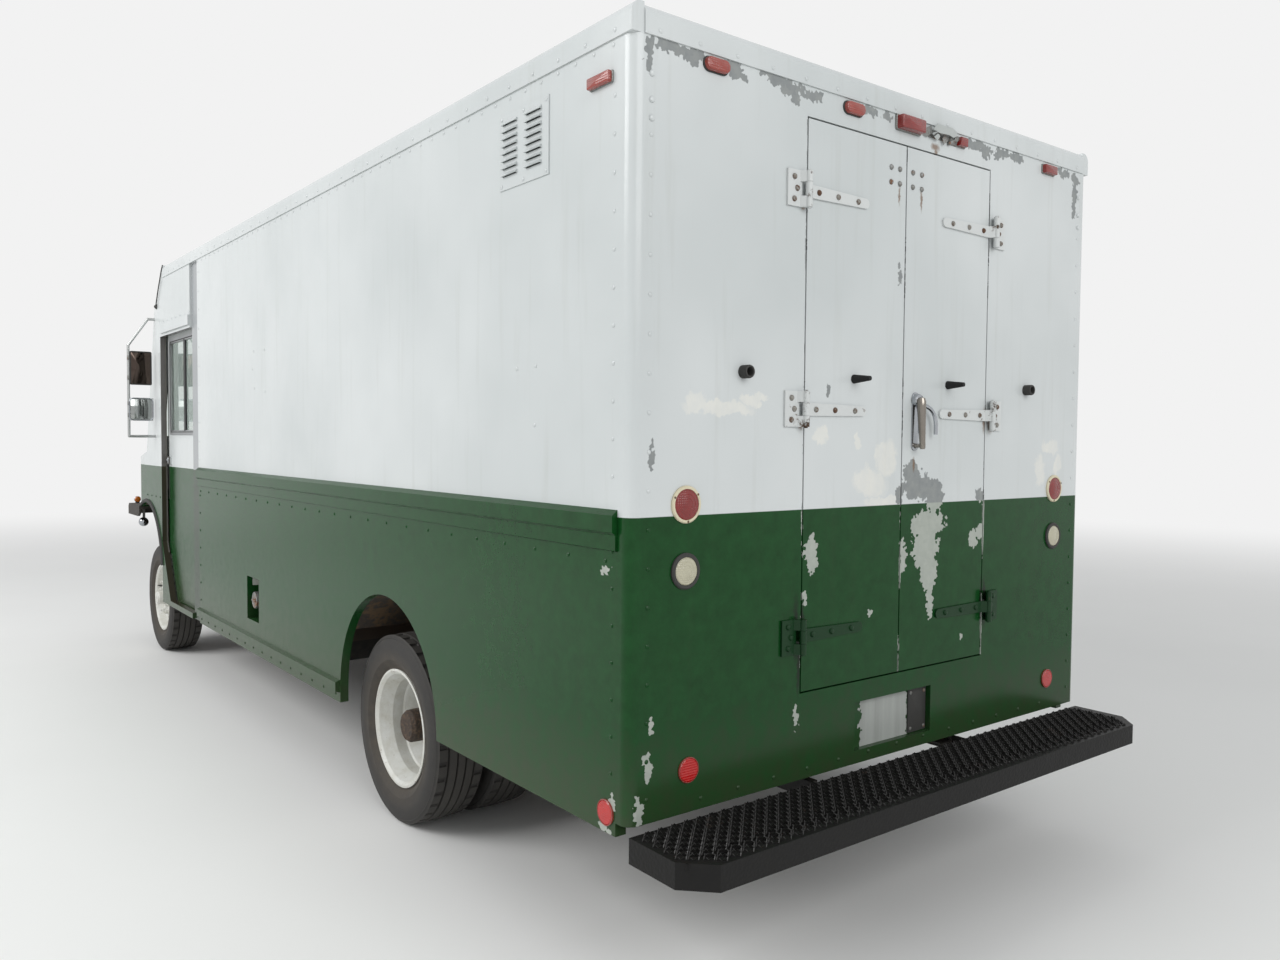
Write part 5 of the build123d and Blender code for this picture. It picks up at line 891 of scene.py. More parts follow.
tail_ring = turned([
    (0.0575, -0.001), (0.0575, 0.0055), (0.0545, 0.0085), (0.0480, 0.0085), (0.0465, 0.0060),
    (0.0465, -0.001),
], steps=40)
tail_grommet = turned([
    (0.0560, -0.001), (0.0560, 0.0060), (0.0520, 0.0095), (0.0440, 0.0090), (0.0425, 0.0050),
    (0.0425, -0.001),
], steps=40)
stop_places = both(stand((REAR_FACE, 1.033, 1.519), REAR))
back_places = both(stand((REAR_FACE, 1.033, 1.316), REAR))
screw = turned([(0.0035, -0.001), (0.0035, 0.0012), (0.0022, 0.0022), (0.0, 0.0024)], steps=8)
SCREW_RING = 0.0525
ring_screws = [moved(p, SCREW_RING * math.cos(a), SCREW_RING * math.sin(a), 0.0083)
               for p in stop_places for a in (0.6, 2.7, 4.8)]
piece(
    "stop_and_reversing_lamps", "truck_body",
    (tail_ring, cream_plastic, stop_places), (dome(0.0470, 0.0135), red_lens, stop_places),
    (tail_grommet, black_rubber, back_places), (dome(0.0430, 0.0130), white_lens, back_places),
    (screw, rusty_bolt, ring_screws), slot="lamp_plastic", stands_for="tail_lamps",
)

oval = tablet(0.096, 0.040, 0.019, 0.0195, 0.006, steps=6)
oval_base = tablet(0.104, 0.047, 0.005, 0.0230, 0.002, steps=6)
block_lens = tablet(0.090, 0.034, 0.021, 0.005, 0.004)
block_base = tablet(0.096, 0.040, 0.005, 0.006, 0.002)


def on_header(y, z=TOP_LAMP_Z):
    return stand((REAR_FACE, y, z), REAR)


broken = bmesh.new()
broken.from_mesh(block_lens)
whole = broken.verts[:] + broken.edges[:] + broken.faces[:]
bmesh.ops.bisect_plane(broken, geom=whole, plane_co=(-0.005, 0, 0), plane_no=(-1, 0.35, 0.2),
                       clear_outer=True)
bmesh.ops.holes_fill(broken, edges=[e for e in broken.edges if e.is_boundary])
broken_lens = as_mesh(broken)
bracket = bar(0.070, 0.012, 0.010, 0.002)
bulb_holder = turned([(0.0095, 0.0), (0.0095, 0.010), (0.0070, 0.012), (0.0, 0.012)], steps=14)


def shard(outline, bend):
    """A torn bit of lamp housing, 2.2 mm thick and bent across its middle."""
    bm = bmesh.new()
    bm.faces.new([bm.verts.new((x, y, 0)) for x, y in outline])
    bm.normal_update()
    bmesh.ops.solidify(bm, geom=bm.faces[:], thickness=0.0022)
    whole = bm.verts[:] + bm.edges[:] + bm.faces[:]
    bmesh.ops.bisect_plane(bm, geom=whole, plane_co=(0, 0, 0), plane_no=(1, 0, 0))
    for v in bm.verts:
        v.co.z += bend * v.co.x ** 2
    return as_mesh(bm)


torn_shell = shard([
    (-0.036, -0.012), (-0.020, -0.021), (0.004, -0.016), (0.022, -0.020), (0.036, -0.004), (0.030, 0.012),
    (0.010, 0.020), (-0.014, 0.017), (-0.030, 0.019),
], -9.0)
small_shell = shard([(-0.018, -0.010), (0.002, -0.014), (0.020, -0.006), (0.016, 0.010), (-0.006, 0.013)],
                    -12.0)
loose_wire = wire([
    (-0.040, 0.004, 0.003), (-0.018, -0.014, 0.016), (0.008, 0.010, 0.022), (0.030, -0.010, 0.016),
    (0.052, 0.002, 0.003),
], 0.0022, smooth=True)


def off_header(y, z, out, turn, tip=0.0, size=(1, 1)):
    """A place that stands off the header, turned and tipped, its template stretched by size."""
    return (moved(on_header(y, z), 0, 0, out) @ Matrix.Rotation(turn, 4, "Z")
            @ Matrix.Rotation(tip, 4, "X") @ Matrix.Diagonal((*size, 1, 1)))


# What is left of the broken lamp's housing and its wiring.
shards = [
    (torn_shell, torn_plastic, [off_header(-0.205, 2.868, 0.028, -0.03, 0.30, (2.0, 0.75))]),
    (torn_shell, zinc_steel, [off_header(-0.112, 2.856, 0.014, 0.45, 0.20, (0.85, 0.8))]),
    (small_shell, torn_plastic, [off_header(-0.150, 2.846, 0.018, -0.70, 0.25)]),
    (small_shell, zinc_steel, [off_header(-0.205, 2.842, 0.014, 0.90, -0.20, (1.2, 0.9))]),
    (loose_wire, black_rubber, [off_header(-0.145, 2.848, 0.0, 0.10)]),
    (bar(0.140, 0.030, 0.004, 0.001), zinc_steel, [on_header(-0.190, 2.852)]),
]
# The middle lamp is a deeper block, half as large again as its neighbours.
middle_lamp = on_header(0.0, 2.8555) @ Matrix.Diagonal((1.5, 1.40, 1.6, 1))
# Lamps left to right: two ovals, the middle block, the broken one and an end block.
FAR_LAMP, NEAR_LAMP = 0.930, 0.298
ovals = [on_header(FAR_LAMP), on_header(NEAR_LAMP)]
piece(
    "rear_marker_lamps", "truck_body",
    (oval, faded_red_lens, ovals), (oval_base, black_rubber, ovals),
    (block_lens, header_red, [middle_lamp, on_header(-FAR_LAMP)]),
    (block_base, zinc_steel, [middle_lamp, on_header(-FAR_LAMP), on_header(-NEAR_LAMP)]),
    (broken_lens, header_red, [on_header(-NEAR_LAMP)]), *shards,
    (bracket, zinc_steel, [off_header(-0.265, 2.846, 0.008, 0.45)]),
    (bulb_holder, zinc_steel, [moved(on_header(-0.276, 2.853), 0, 0, 0.004)]),
    slot="lamp_plastic", stands_for="tail_lamps",
)

side_lens = tablet(0.112, 0.033, 0.014, 0.004, 0.004)
side_base = tablet(0.118, 0.037, 0.006, 0.005, 0.0015)
side_marker_places = both(stand((station(152), HALF, 2.7785), LEFT))
piece(
    "side_marker_lamps", "truck_body",
    (side_lens, faded_red_lens, [moved(p, 0, 0, 0.0055) for p in side_marker_places]),
    (side_base, zinc_steel, side_marker_places), slot="lamp_plastic", stands_for="tail_lamps",
)

reflex = turned([(0.0375, 0.0), (0.0375, 0.0035), (0.0345, 0.0062), (0.0, 0.0066)], steps=32)
reflex_rim = turned([
    (0.0400, -0.001), (0.0400, 0.0050), (0.0388, 0.0062), (0.0370, 0.0062), (0.0365, 0.0040),
    (0.0365, -0.001),
], steps=32)
reflector_places = both(stand((REAR_FACE, 1.013, 0.700), REAR), stand((station(108), HALF, 0.587), LEFT))
piece("round_reflectors", "truck_body", (reflex, reflex_red, reflector_places),
      (reflex_rim, faded_red_lens, reflector_places), slot="lamp_plastic", stands_for="tail_lamps")

NOSE_FACE = station(6990)
bowl = turned([
    (0.0, -0.046), (0.030, -0.044), (0.058, -0.030), (0.078, -0.008), (0.080, 0.002), (0.0915, 0.003),
    (0.0915, -0.004), (0.084, -0.012), (0.062, -0.036), (0.032, -0.049), (0.0, -0.050),
], steps=48)
bezel = turned([
    (0.0915, -0.002), (0.0915, 0.004), (0.0880, 0.0062), (0.0815, 0.0060), (0.0795, 0.0035), (0.0795, -0.002),
], steps=48)
front_lens = turned([
    (0.0790, 0.0), (0.0790, 0.0025), (0.060, 0.0050), (0.030, 0.0060), (0.0, 0.0062), (0.0, 0.0035),
    (0.030, 0.0033), (0.060, 0.0023), (0.0790, 0.0),
], steps=48)
turn_lens = turned([
    (0.0400, 0.0), (0.0400, 0.0070), (0.0330, 0.0105), (0.0315, 0.0100), (0.0200, 0.0128), (0.0, 0.0138),
], steps=36)
turn_rim = turned([(0.0420, -0.001), (0.0420, 0.0050), (0.0405, 0.0070), (0.0395, 0.0070), (0.0390, -0.001)],
                  steps=36)
head_places = both(stand((NOSE_FACE, 0.640, 1.040), FRONT))
turn_places = both(stand((NOSE_FACE, 0.870, 1.060), FRONT))
# A two-faced amber marker stands on each fender, and a driving lamp hangs below it.
marker_band = turned([
    (0.0, -0.010), (0.0235, -0.010), (0.0258, -0.008), (0.0258, 0.008), (0.0235, 0.010), (0.0, 0.010),
], steps=32)
marker_lens = turned([(0.0240, 0.0), (0.0240, 0.0060), (0.0215, 0.0095), (0.0130, 0.0118), (0.0, 0.0122)],
                     steps=32)
marker_foot = tablet(0.030, 0.034, 0.012, 0.006, 0.002)
FENDER_LAMP_Y, MARKER_X, DRIVING_X = 1.200, station(6950), station(6706)
marker_at = stand((MARKER_X, FENDER_LAMP_Y, 1.180), FRONT)
marker_back = marker_at @ Matrix.Rotation(math.pi, 4, "Y")
marker_lenses = both(moved(marker_at, 0, 0, 0.0095), moved(marker_back, 0, 0, 0.0095))
drive_shell = turned([
    (0.0, -0.025), (0.012, -0.0245), (0.024, -0.020), (0.033, -0.010), (0.0365, 0.004), (0.0375, 0.012),
    (0.0375, 0.020), (0.0350, 0.0215), (0.0325, 0.0200), (0.0325, 0.014), (0.0, 0.013),
], steps=36)
drive_lens = turned([(0.0330, 0.0165), (0.0325, 0.0215), (0.022, 0.0242), (0.0, 0.0252)], steps=36)
drive_places = both(stand((DRIVING_X, FENDER_LAMP_Y, 1.005), FRONT))
hanger = tablet(0.020, 0.090, 0.005, 0.004, 0.001)
drive_hangers = both(stand((DRIVING_X, FENDER_LAMP_Y, 1.076), FRONT))
piece(
    "headlamps_and_turn_lamps", "truck_body",
    (bowl, chrome, head_places), (bezel, chrome, head_places), (front_lens, clear_lens, head_places),
    (turn_lens, amber_lens, turn_places), (turn_rim, chrome, turn_places),
    (marker_band, chrome, both(marker_at)), (marker_lens, amber_lens, marker_lenses),
    (marker_foot, black_rubber, both(stand((MARKER_X, FENDER_LAMP_Y, 1.1495), UP, FRONT))),
    (drive_shell, chrome, drive_places), (drive_lens, white_lens, drive_places),
    (hanger, zinc_steel, drive_hangers), slot="clear_lamp", stands_for="headlamps",
)


# Rivets and bolts over the body

def row(start, end, pitch, facing):
    """Rivet places from start to end at about that pitch, all facing one way."""
    start, end = Vector(start), Vector(end)
    count = max(1, round((end - start).length / pitch))
    return [stand(start.lerp(end, i / count), facing) for i in range(count + 1)]


def side_row(start, end, pitch, out=HALF):
    """A row of rivets on the left side, between two (station in mm, height) ends."""
    return row((station(start[0]), out, start[1]), (station(end[0]), out, end[1]), pitch, LEFT)


def side_rivets(kerb):
    """Every rivet of one side panel; the kerb side has a doubled frame round its hatch."""
    places = []
    for start, end, pitch in (
        ((95, 2.868), (4760, 2.868), 0.10), ((86, 0.60), (86, 2.72), 0.11),
        ((2320, 0.492), (4740, 0.492), 0.16), ((120, 1.350), (4740, 1.350), 0.20),
        ((4755, 0.62), (4755, 1.32), 0.12), ((4755, 1.56), (4755, 2.80), 0.12),
    ):
        places += side_row(start, end, pitch)
    if kerb:
        for z in (1.530, 2.585):
            places += side_row((2320, z), (4180, z), 0.12)
        for x in (2318, 4182):
            places += side_row((x, 1.60), (x, 2.53), 0.12)
        return [across(p) for p in places]
    # Plugged screw holes left by fittings that are gone.
    plugs = ((640, 1.95), (520, 1.955), (525, 1.76), (3560, 2.20), (3370, 2.195), (3555, 1.99), (3360, 1.965),
             (3580, 2.10))
    places += [stand((station(x), HALF, z), LEFT) for x, z in plugs]
    # Screws of the louvred vent, on its 4 mm flange.
    places += [stand((station(x), HALF + 0.004, z), LEFT) for x in (455, 597, 739) for z in (2.578, 2.805)]
    return places


piece("side_rivets_left", "truck_body", (rivet, enamel, side_rivets(False)), slot="hardware")
piece("side_rivets_right", "truck_body", (rivet, enamel, side_rivets(True)), slot="hardware")
CORNER_Y = 1.176
post_rivets = both(*row((REAR_FACE, CORNER_Y, 0.64), (REAR_FACE, CORNER_Y, 2.60), 0.115, REAR))
big_rivets = both(*[stand((REAR_FACE, CORNER_Y, z), REAR) for z in (2.775, 2.70, 2.647)])
sill_rivets = row((REAR_FACE, -0.96, 0.600), (REAR_FACE, 0.96, 0.600), 0.16, REAR)
piece("rear_rivets", "truck_body", (rivet, enamel, post_rivets + sill_rivets),
      (button_bolt, cap_enamel, big_rivets), slot="hardware")
rail_rivets = both(*side_row((80, 2.905), (5700, 2.905), 0.15, HALF + 0.006))
back_rail_rivets = row((REAR_FACE - 0.006, -1.15, 2.900), (REAR_FACE - 0.006, 1.15, 2.900), 0.15, REAR)
piece("roof_rail_rivets", "truck_body", (rivet, cap_enamel, rail_rivets + back_rail_rivets),
      slot="body_paint")
cab_rivets = both(
    *side_row((5000, 2.560), (5980, 2.560), 0.12), *side_row((5905, 1.66), (5905, 2.34), 0.14),
    *side_row((5905, 1.25), (6330, 1.25), 0.14),
)
piece("cab_rivets", "truck_body", (rivet, enamel, cab_rivets), slot="hardware")

# Round-headed bolts on the hinge brackets and straps: rusted above, still painted on the lowest.
OLD_BOLTS = {"left": (0.040, 0.088), "right": (-0.035, -0.087)}
BOLT_FACE, STRAP_BOLTS = REAR_FACE - 0.008, (0.470, 0.375, 0.272)


def hinge_bolts(painted, spots):
    """Bolt places at the (y, height above the hinge) spots of the hinges that are painted over or not."""
    heights = [z for z in HINGE_HEIGHTS if (z < COLOUR_SPLIT) == painted]
    return [stand((BOLT_FACE, y, z + up), REAR) for z in heights for y, up in spots]


bracket_spots = ((0.588, -0.036), (0.588, 0.036), (0.575, 0.0))
piece("hinge_bracket_bolts", "truck_body",
      (button_bolt, strap_bolt, both(*hinge_bolts(False, bracket_spots))),
      (button_bolt, hinge_paint, both(*hinge_bolts(True, bracket_spots))), slot="hardware")
strap_spots = [(y, 0.0) for y in STRAP_BOLTS]
for hand, side in SIDES:
    upper = [stand((REAR_FACE, y, z), REAR) for y in OLD_BOLTS[hand] for z in (2.640, 2.692)]
    piece(f"door_bolts_{hand}", f"rear_door_{hand}",
          (button_bolt, strap_bolt, [handed(side, p) for p in hinge_bolts(False, strap_spots)]),
          (button_bolt, hinge_paint, [handed(side, p) for p in hinge_bolts(True, strap_spots)]),
          (button_bolt, zinc_steel, upper), slot="hardware")

# Door seals: a rubber lip that fills most of the gap round each leaf, on the leaf's edge.
seal = tablet(0.5158, 1.9138, 0.010, 0.003, 0.001, border=0.0045)
SEAL_MIDDLE = 1.8235
# Pressed hat sections behind the strap hinges, with the nuts of the strap bolts on them.
rib = tablet(0.400, 0.100, 0.012, 0.010, 0.005)
# Slide bolt on the inner face of each leaf.
keeper = tablet(0.060, 0.110, 0.004, 0.006, 0.001)
shaft = wire([(0, -0.05, 0.012), (0, 0.16, 0.012)], 0.006)
for hand, side in SIDES:
    leaf = f"rear_door_{hand}"
    piece(f"door_seal_{hand}", leaf,
          (seal, black_rubber, [stand((REAR_FACE + 0.018, side * LEAF_Y, SEAL_MIDDLE), REAR)]),
          slot="dark_plastic")
    ribs = [stand((REAR_FACE + 0.035, side * LEAF_Y, z), FRONT) for z in HINGE_HEIGHTS]
    rib_nuts = [stand((REAR_FACE + 0.047, side * y, z), FRONT) for y in (0.425, 0.375, 0.272)
                for z in HINGE_HEIGHTS]
    piece(f"door_ribs_{hand}", leaf, (rib, rear_door_enamel, ribs), (button_bolt, zinc_steel, rib_nuts),
          slot="body_paint")
    inner = [stand((REAR_FACE + 0.040, side * 0.045, 2.62), FRONT)]
    piece(f"door_bolt_inside_{hand}", leaf, (keeper, zinc_steel, inner), (shaft, zinc_steel, inner),
          slot="hardware")

# Chrome latch on the right leaf: long plate, fixed grip and a lever curving down beside it.
LATCH_Y, GRIP_Y, KEY_Z = -0.072, -0.070, 1.868
latch_plate = tablet(0.040, 0.215, 0.0050, 0.0190, 0.0016, steps=6)
latch_boss = turned([(0.0235, 0.0), (0.0235, 0.0125), (0.0205, 0.0185), (0.0130, 0.0215), (0.0, 0.0220)],
                    steps=28)
grip_handle = turned([
    (0.0, -0.0950), (0.0080, -0.0945), (0.0108, -0.0880), (0.0112, -0.0600), (0.0140, 0.0050),
    (0.0165, 0.0600), (0.0168, 0.0800), (0.0140, 0.0920), (0.0060, 0.0960), (0.0, 0.0962),
], steps=24)
grip_at = Matrix.Translation((REAR_FACE - 0.0345, GRIP_Y, 1.782)) @ Matrix.Rotation(0.05, 4, "Y")
neck = turned([(0.0090, 0.0), (0.0078, 0.010), (0.0078, 0.024), (0.0100, 0.030)], steps=18)
necks = [stand((REAR_FACE - 0.004, GRIP_Y, z), REAR) for z in (1.700, 1.862)]
lever = wire([(REAR_FACE - out, y, z) for out, y, z in (
    (0.014, -0.080, 1.853), (0.022, -0.104, 1.849), (0.026, -0.136, 1.836),
    (0.026, -0.160, 1.808), (0.025, -0.168, 1.776), (0.024, -0.168, 1.742),
)], 0.0078, smooth=True, sides=10)
latch_screws = [stand((REAR_FACE - 0.0050, LATCH_Y, z), REAR) for z in (1.692, 1.884)]
keyhole = turned([(0.0085, 0.0), (0.0085, 0.0035), (0.0070, 0.0045), (0.0, 0.0045)], steps=20)
slot_plate = bar(0.0025, 0.010, 0.002, 0.0005)
plate_at = stand((REAR_FACE - 0.0003, LATCH_Y, 1.789), REAR)
boss_at = stand((REAR_FACE - 0.004, LATCH_Y, KEY_Z), REAR)
key = stand((REAR_FACE - 0.0255, LATCH_Y, KEY_Z), REAR)
piece("latch_handle", "rear_door_right", (latch_plate, chrome, [plate_at]), (latch_boss, chrome, [boss_at]),
      (grip_handle, latch_chrome, [grip_at]), (neck, latch_chrome, necks), (lever, chrome, STILL),
      (screw, zinc_steel, latch_screws), (keyhole, zinc_steel, [key]),
      (slot_plate, dial_face, [moved(key, 0, 0, 0.0040)]), slot="hardware", stands_for="door_latch")

# Black rubber sheet in the licence plate recess: painted shade of the dark hole there, on four zinc studs.
plate_recess_shade_sheet = tablet(0.106, 0.166, 0.006, 0.004, 0.0015)
shade_sheet_stud = turned([(0.007, 0.0), (0.007, 0.002), (0.004, 0.003), (0.0, 0.003)], steps=10)
shade_sheet_at = stand((REAR_FACE + 0.025, -0.144, 0.700), REAR)
shade_sheet_studs = [moved(shade_sheet_at, 0.040 * i, 0.068 * j, 0.006) for i in (-1, 1) for j in (-1, 1)]
piece("plate_recess_painted_shade_sheet", "truck_body", (plate_recess_shade_sheet, black_rubber, [shade_sheet_at]),
      (shade_sheet_stud, zinc_steel, shade_sheet_studs), slot="dark_plastic")

# Rubber cups that catch the open leaves, screwed to the rear frame.
cup_ring = turned([
    (0.0214, 0.0), (0.0214, 0.0290), (0.0200, 0.0330), (0.0170, 0.0345), (0.0145, 0.0335), (0.0135, 0.0300),
    (0.0135, 0.0030),
], steps=36)
cup_floor = turned([(0.0138, 0.0030), (0.0138, 0.0046), (0.0070, 0.0048), (0.0045, 0.0066), (0.0, 0.0068)],
                   steps=24)
cup_places = both(stand((REAR_FACE, 0.800, STAY_Z), REAR))
piece("stay_cups", "truck_body", (cup_ring, black_rubber, cup_places), (cup_floor, zinc_steel, cup_places),
      slot="dark_plastic")


# Rear step: a lattice of toothed diamonds pressed up from the tread

def toothed_diamond(long, wide, low, high, wall=0.0030):
    """One cell of the grating: a diamond ring with a tooth on every other stretch of its edge."""
    bm = bmesh.new()
    corners = [(long, 0.0), (0.0, wide), (-long, 0.0), (0.0, -wide)]
    outer = []
    for (ax, ay), (bx, by) in zip(corners, corners[1:] + corners[:1]):
        outer += [(ax + (bx - ax) * t, ay + (by - ay) * t) for t in (0.0, 0.25, 0.5, 0.75)]
    shrink = 1 - wall / min(long, wide) * 1.3
    loops = []
    for grow, foot in ((1.0, True), (1.0, False), (shrink, False), (shrink, True)):
        loops.append([bm.verts.new((x * grow, y * grow, -0.004 if foot else (high if i % 2 else low)))
                      for i, (x, y) in enumerate(outer)])
    for one, two in zip(loops, loops[1:]):
        for i in range(len(outer)):
            j = (i + 1) % len(outer)
            bm.faces.new((one[i], one[j], two[j], two[i]))
    return as_mesh(bm)


cell = toothed_diamond(0.0250, 0.0215, 0.0010, 0.0085)
# Eleven rows, every other one half a cell along; the two rearmost stop at the cut corners.
ROW_PITCH, CELL_PITCH, HALF_CELL = 25, 0.0508, 0.0255
grating = []
for i in range(11):
    reach = 1.165 if i < 2 else 1.205
    count = int(2 * reach / CELL_PITCH)
    for j in range(count + i % 2):
        y = -reach + HALF_CELL * (2 - i % 2) + CELL_PITCH * j
        at = (station(-279 + ROW_PITCH * i), y, 0.5435)
        grating.append(Matrix.Translation(at) @ Matrix.Rotation(math.pi / 2, 4, "Z"))
skin = bmesh.new()
left_edge = [(-0.050, 1.205), (-0.205, 1.205), (-0.270, 1.140)]
skin_edge = left_edge + [(x, -y) for x, y in reversed(left_edge)]
skin.faces.new([skin.verts.new((x, y, 0)) for x, y in skin_edge])
skin.normal_update()
bmesh.ops.solidify(skin, geom=skin.faces[:], thickness=0.003)
tread_skin = as_mesh(skin)
step_nosing = bar(0.004, 2.30, 0.006, 0.0015)
piece("step_tread", "truck_body", (cell, tooth_steel, grating),
      (tread_skin, step_black, [Matrix.Translation((REAR_FACE, 0, 0.5400))]),
      (step_nosing, tooth_steel, [Matrix.Translation((station(-307.5), 0, 0.4740))]), slot="chassis_black")


# Windscreens, their rubbers and wipers

# The windscreen wall leans back 0.300 m over its height of 1.020 m.
LEAN, RISE = 0.300, 1.020
SCREEN_NORMAL, SCREEN_UP = Vector((RISE, 0, LEAN)).normalized(), Vector((-LEAN, 0, RISE)).normalized()


def on_screen(y, z, out=0.0):
    """A point on the outer face of the windscreen wall at that height."""
    return Vector((station(6350) - (z - 1.590) * LEAN / RISE, y, z)) + SCREEN_NORMAL * out


gasket = tablet(1.132, 0.891, 0.007, 0.030, 0.003, border=0.032)
fin = tablet(1.100, 0.859, 0.020, 0.012, 0.001, border=0.008)
gaskets, fins = (both(stand(on_screen(0.582, 2.110, out), SCREEN_NORMAL, SCREEN_UP)) for out in (0.0, -0.017))
piece("windscreen_rubbers", "truck_body", (gasket, black_rubber, gaskets), (fin, black_rubber, fins),
      slot="dark_plastic")

wiper_cap = turned([(0.020, -0.020), (0.020, 0.006), (0.015, 0.012), (0.0, 0.013)], steps=20)
PIVOT, TIP = (0.300, 1.640), (0.520, 2.060)


def blade_line(side, bends, out):
    """Points along a wiper blade: (aside, along) from its middle, with the blade 0.55 m long."""
    return [on_screen(side * TIP[0] + d, TIP[1] + 0.55 * h, out) for d, h in bends]


for hand, side in SIDES:
    pivot, tip = on_screen(side * PIVOT[0], PIVOT[1], 0.020), on_screen(side * TIP[0], TIP[1], 0.014)
    arm = wire([pivot, pivot.lerp(tip, 0.2) + SCREEN_NORMAL * 0.012, tip], 0.005)
    blade = wire(blade_line(side, ((-0.10, -0.38), (0.0, 0.0), (0.07, 0.34)), 0.0), 0.004)
    squeegee = wire(blade_line(side, ((-0.10, -0.40), (0.0, 0.0), (0.07, 0.36)), -0.008), 0.0035)
    cap_at = stand(on_screen(side * PIVOT[0], PIVOT[1], 0.012), SCREEN_NORMAL, SCREEN_UP)
    piece(f"wiper_{hand}", "truck_body", (arm, black_rubber, STILL), (blade, black_rubber, STILL),
          (squeegee, black_rubber, STILL), (wiper_cap, black_rubber, [cap_at]), slot="dark_plastic")


# Cab doors: window rubber, sliding sash, chrome grab and edge rubber; arch lips and mirrors

WINDOW_X, WINDOW_Z = station(5395), 2.078
window = tablet(0.800, 0.714, 0.0035, 0.040, 0.0015, border=0.020)
bead = tablet(0.762, 0.676, 0.0020, 0.026, 0.0008, border=0.007)
frame_bar = bar(0.045, 0.660, 0.014, 0.002)
rail_bar = bar(0.752, 0.020, 0.012, 0.002)
strip = bar(0.012, 1.22, 0.0035, 0.001)
grab = tablet(0.044, 0.040, 0.0030, 0.006, 0.001)
grab_lever = bar(0.040, 0.016, 0.006, 0.002)


def arch_rubber():
    """A rubber lip round 108 degrees of the front wheel arch."""
    bm = bmesh.new()
    outline = ((0.505, 0.0), (0.505, 0.010), (0.512, 0.014), (0.530, 0.010), (0.534, 0.0))
    section = [bm.verts.new((r, 0, w)) for r, w in outline]
    edges = [bm.edges.new((section[i], section[(i + 1) % 5])) for i in range(5)]
    bm.faces.new(section)
    swept = bmesh.ops.spin(bm, geom=section + edges, cent=(0, 0, 0), axis=(0, 0, 1), angle=math.radians(108),
                           steps=27)
    bm.faces.new([v for v in swept["geom_last"] if isinstance(v, bmesh.types.BMVert)])
    return as_mesh(bm)


def bulged_glass(width, height, bulge):
    """A convex mirror glass, highest in its middle."""
    bm = bmesh.new()
    bmesh.ops.create_grid(bm, x_segments=10, y_segments=10, size=0.5)
    bmesh.ops.scale(bm, vec=(width, height, 1), verts=bm.verts)
    for v in bm.verts:
        v.co.z = bulge * (1 - (v.co.x / (width / 2)) ** 2 * 0.5 - (v.co.y / (height / 2)) ** 2 * 0.5)
    return as_mesh(bm)


arch_lip = arch_rubber()
flat_rim = tablet(0.152, 0.254, 0.006, 0.012, 0.002, border=0.009)
flat_glass = tablet(0.140, 0.242, 0.002, 0.008, 0.0005)
round_rim = tablet(0.172, 0.174, 0.007, 0.034, 0.002, border=0.009, steps=8)
round_glass = bulged_glass(0.146, 0.148, 0.0095)
clamp = bar(0.019, 0.034, 0.026, 0.003)
MIRROR_X, MIRROR_Y = station(6008), 1.349
for hand, side in SIDES:
    window_at = [handed(side, stand((WINDOW_X, 1.195, WINDOW_Z), LEFT))]
    sash = [handed(side, stand((station(5360), 1.187, WINDOW_Z), LEFT))]
    sash_rails = [handed(side, stand((WINDOW_X, 1.188, z), LEFT)) for z in (1.747, 2.409)]
    lead_edge = [handed(side, stand((station(5831), 1.1965, 1.850), LEFT))]
    piece(f"cab_door_trim_{hand}", f"cab_door_{hand}", (window, aluminium, window_at),
          (bead, black_rubber, window_at), (frame_bar, sash_black, sash), (rail_bar, aluminium, sash_rails),
          (strip, black_rubber, lead_edge), slot="dark_plastic")
    escutcheon = handed(side, stand((station(5780), 1.2170, 1.5325), LEFT))
    piece(f"cab_door_grab_{hand}", f"cab_door_{hand}", (grab, chrome, [escutcheon]),
          (grab_lever, chrome, [moved(escutcheon, 0, 0.004, 0.0045)]), slot="hardware")
    arch_at = handed(side, stand((FRONT_AXLE, HALF, 0.683), LEFT) @ Matrix.Rotation(math.radians(6), 4, "Z"))
    piece(f"front_arch_rubber_{hand}", "truck_body", (arch_lip, black_rubber, [arch_at]), slot="dark_plastic")
    upper_head, lower_head = (handed(side, stand((MIRROR_X, MIRROR_Y, z), REAR)) for z in (2.225, 1.915))
    clamps = [handed(side, stand((station(6026), 1.4295, z), REAR)) for z in (2.300, 2.150, 1.960, 1.870)]
    piece(f"mirror_glasses_{hand}", "truck_body", (flat_rim, black_rubber, [upper_head]),
          (flat_glass, flat_mirror, [moved(upper_head, 0, 0, 0.0005)]), (round_rim, chrome, [lower_head]),
          (round_glass, convex_mirror, [lower_head]), (clamp, zinc_steel, clamps), slot="hardware")

mast = wire([(station(x), y, z) for x, y, z in (
    (5950, 1.252, 2.690), (5880, 1.253, 2.785), (5760, 1.252, 2.935), (5728, 1.250, 2.972),
)], 0.004)
mast_foot = turned([(0.019, 0.0), (0.019, 0.006), (0.011, 0.013), (0.007, 0.018), (0.0, 0.019)], steps=18)
piece("aerial", "truck_body", (mast, black_rubber, STILL),
      (mast_foot, black_rubber, [stand((station(5950), HALF, 2.690), LEFT)]), slot="hardware")


